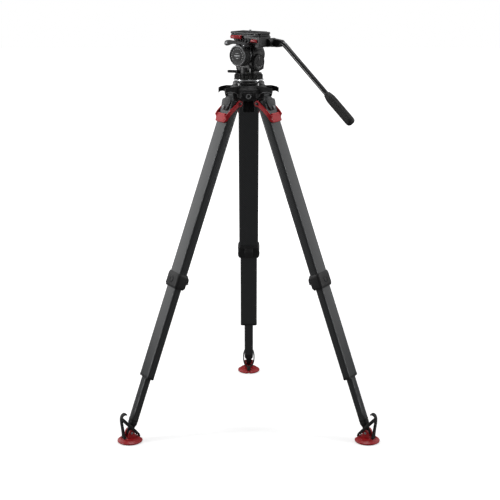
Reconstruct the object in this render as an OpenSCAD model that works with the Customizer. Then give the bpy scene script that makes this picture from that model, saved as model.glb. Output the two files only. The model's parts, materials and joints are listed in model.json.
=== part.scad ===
// Professional video tripod with a fluid pan-and-tilt head.
// Three flat legs of two sliding stages fold under a 75 mm bowl. Each leg frame has its origin on
// the leg's hinge, +X outward, +Y sideways and the leg running down -Z.
// The head frame has its origin on the pan axis at the floor, +X toward the operator.

/* [Stance] */
// Length of a leg from its hinge to its foot pivot
leg_length = 1051; // [1045:1:1060]
// Angle between a leg and the vertical
leg_angle = 20.1; // [19.5:0.1:20.5]
// Height of the foot pivots above the floor
foot_pivot_h = 30; // [29:0.5:31]

/* [Crown and bowl] */
// Radius of the circle on which the leg hinges lie
hinge_ring_r = 50; // [50:0.5:51]
// Diameter of the bowl that holds the half ball
bowl_d = 75; // [74:0.5:75]
// Height of the bowl's rim
bowl_rim_h = 1053.5; // [1053:0.5:1053.5]
// Radius of the bowl's rim flange
bowl_flange_r = 46.9; // [46.5:0.1:47.5]
// Reach of the hood that covers each leg hinge
hood_reach = 98; // [94:1:99]

/* [Leg tubes] */
// Width of the upper tube
upper_w = 61.5; // [61:0.1:62]
// Depth of the upper tube
upper_d = 28; // [28:0.1:28.4]
// Width of the middle tube
middle_w = 54.5; // [54:0.1:55]
// Depth of the middle tube
middle_d = 23.8; // [23.6:0.1:23.9]
// Width of the lower tube
lower_w = 29; // [28:0.5:30]
// Depth of the lower tube
lower_d = 19.9; // [19:0.1:20]
// Where the upper tube ends, measured down the leg
upper_end = 590; // [588:1:591]
// Where the middle tube ends, measured down the leg
middle_end = 872; // [865:1:876]

/* [Feet] */
// Diameter of a rubber foot pad
pad_d = 75; // [72:1:78]

/* [Head] */
// Angle by which the head is turned from the line between the front legs
head_turn = -38; // [-45:1:-30]
// Height of the tilt axis
tilt_h = 1132; // [1131:0.5:1133]
// Radius of the tilt drum inside the cheeks
drum_r = 33.5; // [33:0.1:33.6]
// Radius of the tilt drag dial
drag_dial_r = 30.8; // [30:0.1:30.9]
// Radius of the balance dial
balance_dial_r = 25; // [24:0.5:25]
// Length of the camera plate
plate_len = 113; // [108:1:114]
// Width of the camera plate
plate_w = 54; // [53:0.5:54]

/* [Pan bar] */
// Angle of the pan bar below the horizontal
bar_slope = 41.2; // [39:0.1:42]
// Length of the pan bar from its bend to the end of its grip
bar_run = 313; // [300:1:316]
// Outer diameter of the pan bar's tube
bar_d = 14.5; // [13.5:0.5:15]
// Diameter of the grip
grip_d = 28; // [26:1:29]
// Length of the grip
grip_len = 116; // [110:1:118]

/* [Hidden] */
$fn = 48;
LEGS = [1, 2, 3];
leg_azimuth = [0, 90, 210, 330];
socket_azimuth = [270, 30, 150];
fit = 0.05;                                   // radial clearance of a running fit
gap = 0.35;                                   // clearance between sliding tubes
hinge_h = foot_pivot_h + leg_length * cos(leg_angle);
foot_ring_r = hinge_ring_r + leg_length * sin(leg_angle);
axis_y = -foot_ring_r / 4;                    // centres the three pads' outline on the origin
tube_wall = 1.75;
upper_r = 6;                                  // corner radii of the three sections
middle_r = 5.4;
lower_r = 5;
stage_wall = 1.6;
lower_wall = 1.5;
// crown
ball_r = bowl_d / 2 - 0.3;
bowl_shell_r = bowl_d / 2 + 5.5;
bowl_mouth_r = 20;
ear_in = 20;
ear_out = 29.5;
ear_r = 15;
hinge_pin_r = 5;
knuckle_r = 12;
hood_under = 1036;
deck_h = 1034;
socket_h = 1016;
socket_r = 4.76;                              // 3/8 in. thread
socket_reach = 62;
// brake lever pivot, in the leg frame
pivot_x = -9;
pivot_z = -21;
pivot_pin_r = 3;
lever_in = 31.8;
lever_out = 36.6;
// leg stages, measured down the leg
head_cap_top = 16;
upper_start = 30;
collar_top = 550;
collar_end = 596;
middle_start = 348;
clamp_end = 879;
lower_start = 520;
lower_end = 1010;
foot_pin_r = 3;
spreader_r = 4;
// head stack, heights above the floor
collar_h = 1057.5;
drag_ring_h = 1063.3;
housing_h = 1076.3;
neck_r = 33;
spindle_r = 12;
shaft_r = 8;
bearing_r = 13;
cheek_in = 19.3;
cheek_out = 26;
plate_z = tilt_h + 55.3;
plate_front = -50;
pan_brake_x = -15.5;
pan_brake_y = -33.5;
brake_x = 25;
brake_z = tilt_h + 30.5;
flange_out = 30;
side_w = 27;                                  // half width of the tilt platform
lock_x = -5;
lock_y = -31.7;
screw_r = 3.175;                              // 1/4 in. camera thread
rosette_x = 61;
rosette_z = tilt_h + 36;
bar_y = 37;
bar_core_d = 11;                              // the bar inside its grip
bar_z = tilt_h + 35;
bar_start = 73;
bend_swell = 0.4;                             // the bend's wall is pushed out a little
bend_x = 90.5;                               // where the bar starts to bend down
bend_r = 24;
bend_end = [bend_x + bend_r * sin(bar_slope), bar_y, bar_z - bend_r * (1 - cos(bar_slope))];

// ---- frames and common shapes ----
module on_leg(i) {
    translate([0, axis_y, 0]) rotate([0, 0, leg_azimuth[i]])
        translate([hinge_ring_r, 0, hinge_h]) rotate([0, -leg_angle, 0]) children();
}
module at_foot(i) {
    translate([0, axis_y, 0]) rotate([0, 0, leg_azimuth[i]])
        translate([foot_ring_r, 0, 0]) children();
}
module on_crown(azimuth = 0) {
    translate([0, axis_y, 0]) rotate([0, 0, azimuth]) children();
}
module on_head() {
    translate([0, axis_y, 0]) rotate([0, 0, head_turn]) children();
}
// A rounded rectangle made of squares and true circles
module rounded(x, y, r) {
    square([x - 2 * r, y], center = true);
    square([x, y - 2 * r], center = true);
    for (sx = [-1, 1], sy = [-1, 1])
        translate([sx * (x / 2 - r), sy * (y / 2 - r)]) circle(r);
}
// A cylinder along Y from y0 to y1
module rod_y(r, y0, y1) {
    translate([0, y1, 0]) rotate([90, 0, 0]) cylinder(r = r, h = y1 - y0);
}
// A cylinder along X from x0 to x1
module rod_x(r, x0, x1) {
    translate([x0, 0, 0]) rotate([0, 90, 0]) cylinder(r = r, h = x1 - x0);
}
// A side view drawn in X and Z, carried along Y from y0 to y1
module side_view(y0, y1) {
    translate([0, y1, 0]) rotate([90, 0, 0]) linear_extrude(y1 - y0) children();
}
// A front view drawn in Y and Z, carried along X from x0 to x1
module front_view(x0, x1) {
    translate([x0, 0, 0]) rotate([90, 0, 90]) linear_extrude(x1 - x0) children();
}
// A tube section between two distances down the leg
module stage(from, to, d, w, r, wall) {
    translate([0, 0, -to]) linear_extrude(to - from) difference() {
        rounded(d, w, r);
        rounded(d - 2 * wall, w - 2 * wall, r - wall / 2);
    }
}
// A solid rounded section between two distances down the leg
module plug(from, to, d, w, r) {
    translate([0, 0, -to]) linear_extrude(to - from) rounded(d, w, r);
}

// ---- crown ----
module bowl_profile() {
    rim = bowl_rim_h;
    polygon([[30, rim - 8], [bowl_flange_r, rim - 10], [bowl_flange_r, rim - 1], [bowl_flange_r - 1, rim],
             [30, rim]]);
    polygon([[34, rim - 10], [46, rim - 8], [60, deck_h], [60, 1010], [57, 1008], [54, 1008],
             [54, deck_h - 5], [42, deck_h + 2]]);
}
module crown() {
    hood = [[42, 1046], [47, 1046.5], [hood_reach - 4, 1043], [hood_reach, 1037], [hood_reach - 3, 1030],
            [hood_reach - 12, hood_under], [42, hood_under]];
    cheek = [[38, 1040], [hood_reach - 14, 1040], [hood_reach - 14, 1034], [72, 1026], [61, 1014],
             [40, 1010], [37, 1020]];
    color("#1b1b1d") on_crown() difference() {
        union() {
            rotate_extrude($fn = 96) bowl_profile();
            difference() {
                translate([0, 0, bowl_rim_h]) sphere(bowl_shell_r, $fn = 96);
                translate([-60, -60, bowl_rim_h - 8]) cube([120, 120, 60]);
            }
            for (i = LEGS) rotate([0, 0, leg_azimuth[i]]) {
                intersection() {
                    side_view(-ear_out, ear_out) polygon(hood);
                    linear_extrude(1100) polygon([[30, -ear_out], [64, -ear_out], [hood_reach, -24],
                                                  [hood_reach, 24], [64, ear_out], [30, ear_out]]);
                }
                for (s = [-1, 1]) side_view(min(s * ear_in, s * ear_out), max(s * ear_in, s * ear_out)) {
                    polygon(cheek);
                    translate([hinge_ring_r, hinge_h]) circle(ear_r);
                }
            }
            for (a = socket_azimuth) rotate([0, 0, a])
                translate([50, 0, socket_h + 1.7]) rotate([90, 0, 90])
                    linear_extrude(socket_reach - 51) rounded(48, 24.6, 6);
        }
        translate([0, 0, bowl_rim_h]) sphere(bowl_d / 2, $fn = 96);
        translate([0, 0, 990]) cylinder(r = bowl_mouth_r, h = 60);
        for (i = LEGS) rotate([0, 0, leg_azimuth[i]]) {
            side_view(-ear_in, ear_in) polygon([[45, hood_under + 0.5], [90, hood_under + 0.5], [90, 990],
                                                [34, 990], [36, 1024]]);
            translate([hinge_ring_r, 0, hinge_h]) rod_y(hinge_pin_r + fit, -40, 40);
        }
        for (a = socket_azimuth) rotate([0, 0, a])
            translate([0, 0, socket_h]) rod_x(8 + fit, 45, 70);
    }
}
module accessory_sockets() {
    color("#8f9194") for (a = socket_azimuth) on_crown(a) translate([0, 0, socket_h]) difference() {
        rod_x(8, 52, socket_reach);
        rod_x(socket_r, 50, socket_reach + 1);
    }
}
module leg_hinge_pins() {
    color("#9a9b9d") for (i = LEGS) on_crown(leg_azimuth[i])
        translate([hinge_ring_r, 0, hinge_h]) rod_y(hinge_pin_r, -ear_out, ear_out);
}

// ---- legs ----
module leg_head(i) {
    color("#3a3b3d") on_leg(i) difference() {
        union() {
            rod_y(knuckle_r, -19.5, 19.5);
            side_view(-19.5, 19.5) polygon([[-9, -8], [9, -8], [14, -20], [-14, -20]]);
            plug(head_cap_top, upper_start, upper_d + 2, 62.9, 9);
            front_view(5, 19) {
                polygon([[-26, -17], [26, -17], [26, -26], [15, -46], [-15, -46], [-26, -26]]);
                translate([0, -40]) rounded(30, 26, 8);
            }
            translate([0, 0, -42]) rod_x(5, 10, 21);
            translate([pivot_x, 0, pivot_z]) for (s = [-1, 1])
                rod_y(pivot_pin_r, min(s * 25, s * 37), max(s * 25, s * 37));
        }
        rod_y(hinge_pin_r + fit, -30, 30);
        translate([0, 0, -42]) rod_x(2.4, 18, 25);
        plug(upper_start, 60, upper_d + 0.1, upper_w + 0.1, upper_r);
    }
    // the sleeve inside the tube
    color("#3a3b3d") on_leg(i) difference() {
        plug(upper_start - 1, 75, upper_d - 2 * tube_wall - 0.2, upper_w - 2 * tube_wall - 0.2,
             upper_r - tube_wall / 2);
        plug(upper_start - 2, 76, 16, 46, 5);
    }
}
module upper_tube(i) {
    color("#202224") on_leg(i) stage(upper_start, upper_end, upper_d, upper_w, upper_r, tube_wall);
}
module mid_collar(i) {
    color("#161617") on_leg(i) difference() {
        union() {
            translate([-1, 0, 0]) plug(collar_top, collar_end, 38, 70, 9);
            translate([17, 0, -573]) rod_x(10, 0, 3);
            side_view(-13, 13) polygon([[-18, -552], [-30, -558], [-34, -564], [-34, -576], [-30, -582],
                                        [-18, -590]]);
        }
        plug(collar_top - 1, upper_end, upper_d + 0.1, upper_w + 0.1, upper_r);
        plug(upper_end - 1, collar_end + 1, middle_d + 2 * gap, middle_w + 2 * gap, middle_r + gap);
        translate([-27, 0, -570]) rod_y(spreader_r, -20, 20);
    }
}
module brake_lever(i) {
    arm = [[-9, -13], [-2, -14.5], [10, -29], [17, -46], [21, -58], [21, -84], [16, -88], [12, -87],
           [0, -78], [-14, -30], [-17, -21]];
    color("#b3151c") on_leg(i) difference() {
        union() {
            for (s = [-1, 1]) side_view(min(s * lever_in, s * lever_out), max(s * lever_in, s * lever_out)) {
                polygon(arm);
                translate([pivot_x, pivot_z]) circle(8);
            }
            front_view(15, 21) translate([0, -73]) rounded(2 * lever_out, 30, 6);
        }
        translate([pivot_x, 0, pivot_z]) rod_y(pivot_pin_r + fit, -40, 40);
    }
}
module middle_tube(i) {
    color("#202224") on_leg(i) stage(middle_start, middle_end, middle_d, middle_w, middle_r, stage_wall);
}
module lower_clamp(i) {
    color("#141415") on_leg(i) difference() {
        union() {
            plug(middle_end, clamp_end, middle_d + 0.6, middle_w + 0.6, middle_r);
            plug(middle_end - 24, middle_end, middle_d - 2 * stage_wall - 0.1, middle_w - 2 * stage_wall - 0.1,
                 middle_r - stage_wall / 2);
        }
        plug(middle_end - 30, clamp_end + 1, lower_d + 2 * gap, lower_w + 2 * gap, lower_r + gap);
    }
}
module lower_tube(i) {
    color("#2a2c2f") on_leg(i) stage(lower_start, lower_end, lower_d, lower_w, lower_r, lower_wall);
}
module foot_tip(i) {
    color("#121213") on_leg(i) difference() {
        union() {
            plug(lower_end - 25, lower_end, lower_d - 2 * lower_wall - 0.1, lower_w - 2 * lower_wall - 0.1,
                 lower_r - lower_wall / 2);
            plug(lower_end, lower_end + 14, lower_d, lower_w, lower_r);
            intersection() {
                plug(lower_end + 14, leg_length + 10, 18, lower_w, 6);
                front_view(-12, 12) polygon([[-14.5, -1024], [14.5, -1024], [7, -1040], [7, -1060],
                                             [-7, -1060], [-7, -1040]]);
            }
        }
        translate([0, 0, -leg_length]) rod_y(foot_pin_r + fit, -10, 10);
        difference() {
            plug(leg_length, leg_length + 12, 30, 30, 2);
            translate([0, 0, -leg_length]) rod_y(9, -16, 16);
        }
    }
}
module foot_pad(i) {
    color("#c01820") at_foot(i) difference() {
        union() {
            rotate_extrude($fn = 72) polygon([[0, 0], [pad_d / 2 - 3, 0], [pad_d / 2, 2], [pad_d / 2, 5.5],
                                              [pad_d / 2 - 3, 8], [22, 12], [0, 14]]);
            for (s = [-1, 1]) side_view(min(s * 7.6, s * 15.4), max(s * 7.6, s * 15.4)) {
                polygon([[-15, 8], [15, 8], [9, 30], [-9, 30]]);
                translate([0, foot_pivot_h]) circle(9);
            }
            translate([0, 0, foot_pivot_h]) rod_y(foot_pin_r, -15, 15);
        }
        translate([-pad_d / 2 - 1, 0, -1]) cylinder(r = 6, h = 12);
    }
}
module foot_strap(i) {
    color("#101011") at_foot(i) {
        translate([1.5, 0, 49]) rotate([0, -48.7, 0]) translate([0, 0, -4]) linear_extrude(8) difference() {
            rounded(77, 40, 18);
            rounded(68, 32.4, 15);
        }
        side_view(-8, 8) polygon([[14, 10.5], [23, 10.5], [30, 70], [27, 85], [17, 91],
                                                      [9, 89], [10, 84], [18, 84], [22, 76]]);
        side_view(-6, 6) polygon([[-31, 9.8], [-22, 11], [-20, 22], [-27, 22]]);
    }
}

// ---- levelling ball and bowl clamp ----
module half_ball() {
    color("#2a2a2c") on_head() difference() {
        union() {
            intersection() {
                translate([0, 0, bowl_rim_h]) sphere(ball_r, $fn = 96);
                translate([0, 0, bowl_rim_h - 33]) cylinder(r = 50, h = 33);
            }
            translate([0, 0, bowl_rim_h - 1]) cylinder(r = 36, h = collar_h - bowl_rim_h + 2);
            translate([0, 0, collar_h]) cylinder(r = 38.5, h = 5.4);
            translate([0, 0, collar_h]) cylinder(r = neck_r, h = housing_h - 0.4 - collar_h);
            translate([0, 0, collar_h]) cylinder(r = spindle_r, h = 1093 - collar_h);
        }
        translate([0, 0, 1000]) cylinder(r = 5, h = 60);
    }
}
module ball_collar() {
    color("#c9cbcd") on_head() rotate_extrude($fn = 96)
        polygon([[38.6, collar_h], [43.4, collar_h], [44.2, collar_h + 1], [44.2, collar_h + 4],
                 [43, collar_h + 5], [38.6, collar_h + 5]]);
}
module tie_rod() {
    color("#8a8b8d") on_head() translate([0, 0, 972]) cylinder(r = 5, h = 88);
}
module clamp_cup() {
    color("#2c2c2e") on_crown() difference() {
        intersection() {
            translate([0, 0, bowl_rim_h]) sphere(48, $fn = 96);
            translate([0, 0, bowl_rim_h - 60]) cylinder(r = 27, h = 40);
        }
        translate([0, 0, bowl_rim_h]) sphere(bowl_shell_r + 0.3, $fn = 96);
        translate([0, 0, 990]) cylinder(r = 9.5, h = 60);
    }
}
module clamp_knob() {
    color("#141415") on_crown() difference() {
        union() {
            translate([0, 0, 998]) cylinder(r = 20, h = 14);
            translate([0, 0, 963]) linear_extrude(36) {
                circle(15);
                for (k = [0:5]) rotate(k * 60) translate([14.5, 0]) circle(5);
            }
        }
        translate([0, 0, bowl_rim_h]) sphere(48.3, $fn = 96);
        translate([0, 0, 968]) cylinder(r = 5 + fit, h = 60);
    }
}

// ---- pan stage ----
module pan_drag_ring() {
    color("#1a1a1b") on_head() translate([0, 0, drag_ring_h]) difference() {
        cylinder(r = 42.6, h = 11.7, $fn = 96);
        translate([0, 0, -1]) cylinder(r = neck_r + 0.3, h = 14, $fn = 96);
        for (k = [0:23]) rotate([0, 0, k * 15]) translate([44.6, 0, 3]) cylinder(r = 3.4, h = 12, $fn = 24);
    }
}
module pan_bearing() {
    color("#a9abad") on_head() translate([0, 0, housing_h + 2]) difference() {
        cylinder(r = 17, h = 12);
        translate([0, 0, -1]) cylinder(r = spindle_r + fit, h = 14);
    }
}
module pan_housing() {
    color("#242425") on_head() difference() {
        union() {
            translate([0, 0, housing_h]) cylinder(r = 39.5, h = 3, $fn = 96);
            translate([0, 0, housing_h]) cylinder(r = 31, h = 22, $fn = 96);
            translate([-0.5, 7, 1086]) linear_extrude(tilt_h - 1086) rounded(66, 66, 12);
            translate([0, 0, tilt_h]) {
                rod_y(31, -cheek_out, cheek_out);
                rod_y(30, cheek_out - 1, 42);
                rod_y(31.5, -flange_out, -cheek_out);
                rod_y(5, -52, -20);
            }
            translate([0, 0, tilt_h - 20]) rod_x(26, 20, 34.2);
            translate([0, 0, tilt_h - 20]) rod_x(4, 30, 40);
            side_view(-flange_out, -side_w - 0.4) {
                translate([brake_x, brake_z]) circle(7);
                polygon([[6, tilt_h + 24], [brake_x - 5, brake_z + 5], [brake_x + 6.5, brake_z - 2.5],
                         [27, tilt_h + 8]]);
            }
            translate([brake_x, 0, brake_z]) rod_y(3, -55, -side_w - 1);
            translate([pan_brake_x, pan_brake_y, housing_h]) cylinder(r = 2, h = 13);
        }
        translate([0, 0, tilt_h]) {
            rod_y(drum_r + 0.5, -cheek_in, cheek_in);
            rod_y(bearing_r + fit, -25.6, 25.8);
            rod_y(25, 28, 40);
            rod_y(shaft_r + 0.4, 20, 38.5);
        }
        translate([-60, -cheek_in, tilt_h]) cube([120, 2 * cheek_in, 60]);
        translate([-60, -cheek_in, tilt_h - 42]) cube([40, 2 * cheek_in, 60]);
        translate([0, 0, housing_h - 1]) cylinder(r = 17 + fit, h = 18);
    }
}
module pan_brake_lever() {
    color("#1d1d1e") on_head() difference() {
        translate([pan_brake_x, pan_brake_y, housing_h + 3.4]) {
            cylinder(r = 5.5, h = 9);
            linear_extrude(9) polygon([[-1, 5], [-24, -2], [-29, -6], [-29, -12], [-24, -14], [-14, -11],
                                       [1, -5]]);
        }
        translate([pan_brake_x, pan_brake_y, housing_h]) cylinder(r = 2 + fit, h = 14);
    }
}
module bubble_level() {
    color("#b9d67a") on_head() translate([20, -33, housing_h + 3]) cylinder(r = 5.5, h = 5);
}

module tilt_drag_dial() {
    color("#1e1e1f") on_head() translate([0, 0, tilt_h]) difference() {
        rod_y(drag_dial_r, -55, -flange_out - 0.4);
        rod_y(drag_dial_r - 6, -56, -53.6);
        rod_y(5 + fit, -53, -27);
    }
}
module balance_dial() {
    color("#1e1e1f") on_head() translate([0, 0, tilt_h - 20]) difference() {
        rod_x(balance_dial_r, 34.6, 41);
        rod_x(balance_dial_r - 4, 39.6, 42);
        rod_x(4 + fit, 34, 42);
    }
}
module tilt_brake_lever() {
    color("#1d1d1e") on_head() difference() {
        union() {
            translate([brake_x, 0, brake_z]) rod_y(7, -57, -flange_out - 0.4);
            side_view(-50, -41) polygon([[brake_x, brake_z + 7], [2, tilt_h + 41], [-40, tilt_h + 40],
                [-50, tilt_h + 36], [-50, tilt_h + 30], [-42, tilt_h + 29], [-20, tilt_h + 30],
                [brake_x - 3, brake_z - 5]]);
        }
        translate([0, 0, tilt_h]) rod_y(32.2, -60, -40);
        translate([brake_x, 0, brake_z]) rod_y(3 + fit, -60, -20);
    }
}

// ---- tilt stage ----
module tilt_shaft() {
    color("#9a9b9d") on_head() translate([0, 0, tilt_h]) rod_y(shaft_r, -25, 38);
}
module tilt_bearings() {
    color("#a9abad") on_head() translate([0, 0, tilt_h]) for (y = [-25.4, cheek_in + 0.2]) difference() {
        rod_y(bearing_r, y, y + 6);
        rod_y(shaft_r + fit, y - 1, y + 7);
    }
}
module tilt_damper() {
    color("#7c7d80") on_head() translate([0, 0, tilt_h]) difference() {
        union() {
            for (y = [28.4, 32.4, 36.4]) rod_y(24, y, y + 2.4);
            rod_y(12, 28.4, 38.8);
        }
        rod_y(shaft_r + fit, 27, 40);
    }
}
// A clock spring: a flat strip that winds from radius 10 out to radius 22
module balance_spring() {
    turns = 4;
    steps = 96;
    strip = 1.2;
    inner = [for (k = [0:steps]) let (a = k * 360 * turns / steps, r = 10 + 12 * k / steps)
             [r * cos(a), r * sin(a)]];
    outer = [for (k = [steps:-1:0]) let (a = k * 360 * turns / steps, r = 10 + strip + 12 * k / steps)
             [r * cos(a), r * sin(a)]];
    color("#6d7076") on_head() translate([0, 0, tilt_h]) side_view(-7, 7) polygon(concat(inner, outer));
}
module tilt_platform() {
    z = tilt_h;
    color("#1c1c1e") on_head() difference() {
        union() {
            translate([0, 0, z]) rod_y(drum_r, -18.7, 18.7);
            side_view(-18.7, 18.7) polygon([[-27, z + 18], [-40, z + 42], [-46, z + 49], [58, z + 49],
                                            [60, z + 26], [46, z + 26], [36, z + 30], [24, z + 24]]);
            side_view(-side_w, side_w) polygon([[-48, z + 50], [-46, z + 48], [34, z + 48], [36, z + 33],
                                                [44, z + 24], [60, z + 24], [61, z + 30], [61, z + 55],
                                                [-48, z + 55]]);
            for (s = [-1, 1]) side_view(min(s * 22.6, s * side_w), max(s * 22.6, s * side_w))
                polygon([[-45, z + 54], [58, z + 54], [56, z + 60], [-43, z + 60]]);
            translate([rosette_x, 0, rosette_z]) rod_y(12, 10, 29.5);
        }
        translate([0, 0, z]) rod_y(shaft_r, -20, 20);
        translate([0, 0, z]) rod_y(24.5, -7.5, 7.5);
        translate([rosette_x, 0, rosette_z]) rod_y(3 + fit, 12, 30);
        translate([29.4, -side_w - 1, z + 38]) cube([25.2, 9, 9.7]);
    }
}
module plate_lock_lever() {
    z = tilt_h + 47;
    color("#c8171f") on_head() {
        translate([lock_x, lock_y, z]) cylinder(r = 4, h = 10);
        translate([0, 0, z]) linear_extrude(10) polygon([[lock_x, lock_y + 4], [lock_x, lock_y - 4],
            [-32, lock_y - 4], [-38, lock_y - 2], [-38, lock_y + 1], [-34, lock_y + 3]]);
    }
}
module release_button() {
    color("#c8171f") on_head() side_view(-32, -side_w + 3)
        polygon([[30, tilt_h + 38.6], [54, tilt_h + 38.6], [52, tilt_h + 47.1], [32, tilt_h + 47.1]]);
}
module camera_plate() {
    color("#2b2b2d") on_head() translate([plate_front + plate_len / 2, 0, plate_z]) difference() {
        union() {
            linear_extrude(5.5) rounded(plate_len - 6, 44.2, 3);
            translate([0, 0, 5.2]) linear_extrude(6.3) rounded(plate_len, plate_w, 8);
        }
        translate([0, 0, -1]) linear_extrude(14) rounded(70, 7, 3.4);
        translate([0, 0, -1]) linear_extrude(4.5) rounded(84, 16, 6);
    }
}
module plate_pad() {
    color("#101011") on_head() translate([plate_front + plate_len / 2, 0, plate_z + 11.5])
        for (s = [-1, 1]) translate([0, s * 15, 0]) linear_extrude(1.2) rounded(plate_len - 24, 17, 5);
}
module camera_screw() {
    color("#b4b6b8") on_head() translate([plate_front + plate_len / 2, 0, plate_z]) {
        translate([0, 0, 0.4]) cylinder(r = 6, h = 2.8);
        cylinder(r = screw_r - 0.5, h = 13);
        translate([0, 0, 12.9]) cylinder(r = screw_r, h = 4.9);
    }
}

// ---- pan bar ----
module bar_clamp() {
    color("#151516") on_head() difference() {
        union() {
            translate([rosette_x, 0, rosette_z]) rod_y(13, 29.9, 45);
            side_view(29.9, 45) polygon([[rosette_x, rosette_z + 13], [82, tilt_h + 46],
                [98, tilt_h + 44], [103, tilt_h + 37], [94, tilt_h + 25], [80, tilt_h + 23],
                [rosette_x, rosette_z - 13]]);
        }
        translate([rosette_x, 0, rosette_z]) rod_y(3 + fit, 20, 50);
        translate([0, bar_y, bar_z]) rod_x(bar_d / 2 + fit, bar_start - 0.5, 160);
        translate([86, bar_y - bar_d / 2 - fit, tilt_h]) cube([40, bar_d + 2 * fit, 35]);
    }
}
module on_bar() {
    translate(bend_end) rotate([0, 90 + bar_slope, 0]) children();
}
module pan_bar() {
    color("#3c3d3f") on_head() {
        translate([0, bar_y, bar_z]) rod_x(bar_d / 2, bar_start, bend_x + 1);
        translate([bend_x, bar_y, bar_z - bend_r]) rotate([90, 0, 0]) rotate([0, 0, 90 - bar_slope])
            rotate_extrude(angle = bar_slope) translate([bend_r, 0]) circle(d = bar_d + bend_swell);
        on_bar() translate([0, 0, -1]) cylinder(d = bar_d, h = bar_run - grip_len + 1);
        on_bar() cylinder(d = bar_core_d, h = bar_run - 20);
    }
}
module pan_grip() {
    r = grip_d / 2;
    color("#101011") on_head() on_bar() translate([0, 0, bar_run - grip_len]) difference() {
        rotate_extrude() polygon([[0, 0.2], [r - 5, 0.2], [r - 1, 14], [r, 26], [r, grip_len - 14],
                                  [r - 3, grip_len - 3], [r - 7, grip_len], [0, grip_len]]);
        cylinder(d = bar_core_d + 0.1, h = grip_len - 19);
    }
}
module bar_knob() {
    color("#141415") on_head() translate([rosette_x, 0, rosette_z]) {
        rod_y(3, 14, 58);
        rod_y(9, 45.4, 55);
        side_view(49, 59) polygon([[-20, -3], [-8, -6], [8, -6], [20, -3], [20, 3], [8, 6], [-8, 6],
                                   [-20, 3]]);
    }
}
crown();
accessory_sockets();
leg_hinge_pins();
for (i = LEGS) {
    leg_head(i);
    upper_tube(i);
    mid_collar(i);
    brake_lever(i);
    middle_tube(i);
    lower_clamp(i);
    lower_tube(i);
    foot_tip(i);
    foot_pad(i);
    foot_strap(i);
}
half_ball();
ball_collar();
tie_rod();
clamp_cup();
clamp_knob();
pan_drag_ring();
pan_bearing();
pan_housing();
pan_brake_lever();
bubble_level();
tilt_shaft();
tilt_bearings();
tilt_damper();
balance_spring();
tilt_drag_dial();
balance_dial();
tilt_brake_lever();
tilt_platform();
plate_lock_lever();
release_button();
camera_plate();
plate_pad();
camera_screw();
bar_clamp();
pan_bar();
pan_grip();
bar_knob();
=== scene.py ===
# %% [markdown]
# # A video tripod with a fluid head
# A camera operator's tripod has two jobs. The legs carry the load on carbon tubes, and the fluid head turns
# it smoothly. This lesson dresses the fixed frame of the tripod with finished surfaces. Every length is in
# millimetres inside the helpers, and becomes metres when a mesh is made.
#
# The frame is loaded first, because every piece takes its place from the frame's own joints.

# %% Load the frame
import json
import math

import bpy
import numpy as np
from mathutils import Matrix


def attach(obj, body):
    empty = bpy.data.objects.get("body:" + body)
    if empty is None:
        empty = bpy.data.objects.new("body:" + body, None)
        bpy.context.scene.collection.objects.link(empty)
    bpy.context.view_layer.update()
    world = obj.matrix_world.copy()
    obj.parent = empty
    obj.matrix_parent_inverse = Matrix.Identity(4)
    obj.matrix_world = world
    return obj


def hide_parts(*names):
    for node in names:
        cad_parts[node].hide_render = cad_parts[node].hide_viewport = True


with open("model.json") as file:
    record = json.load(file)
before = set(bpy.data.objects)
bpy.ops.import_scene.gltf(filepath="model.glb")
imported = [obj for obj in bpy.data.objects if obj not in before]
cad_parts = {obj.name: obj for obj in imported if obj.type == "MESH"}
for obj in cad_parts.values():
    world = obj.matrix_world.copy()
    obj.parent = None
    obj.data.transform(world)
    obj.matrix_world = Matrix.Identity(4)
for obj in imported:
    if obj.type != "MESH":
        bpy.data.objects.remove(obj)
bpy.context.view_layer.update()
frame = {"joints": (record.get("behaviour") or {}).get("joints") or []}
MM = 0.001

# %% [markdown]
# ## Where the viewer stands
# A short telephoto lens from three and a half metres keeps the legs nearly parallel.
# The camera looks along +Y and a little down. It is made before the pieces, so that each one can be judged
# from the same place.

# %% Camera
lens_mm = 85.9
eye = (0.0042, -3.642, 1.4373)
look_down = 0.2484
camera_data = bpy.data.cameras.new("camera")
camera_data.lens = lens_mm
camera_data.sensor_width = 36.0
camera = bpy.data.objects.new("camera", camera_data)
camera.location = eye
camera.rotation_euler = (math.pi / 2 - look_down, 0.0, 0.0)
bpy.context.scene.collection.objects.link(camera)
bpy.context.scene.camera = camera
print("camera at", eye)

# %% [markdown]
# ## Local places
# A leg is easiest to draw standing straight down from its hinge, and the head is easiest to draw as if it
# faced along X. A place is an origin and three axes, read from the joints of the frame: the hinge gives the
# leg's side axis, and its slide gives the direction down the tube. A point in local millimetres then becomes
# a point of the frame with one matrix product.

# %% Places from the joints
joint = {j["name"]: j for j in frame["joints"]}
LEGS = (1, 2, 3)


def unit(vector):
    """The vector divided by its length."""
    vector = np.asarray(vector, float)
    return vector / np.linalg.norm(vector)


def place(origin, y, z):
    """An origin in metres with its X, Y and Z axes; X is the cross product of the other two."""
    y, z = unit(y), unit(z)
    return np.asarray(origin, float), np.stack([np.cross(y, z), y, z])


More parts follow.
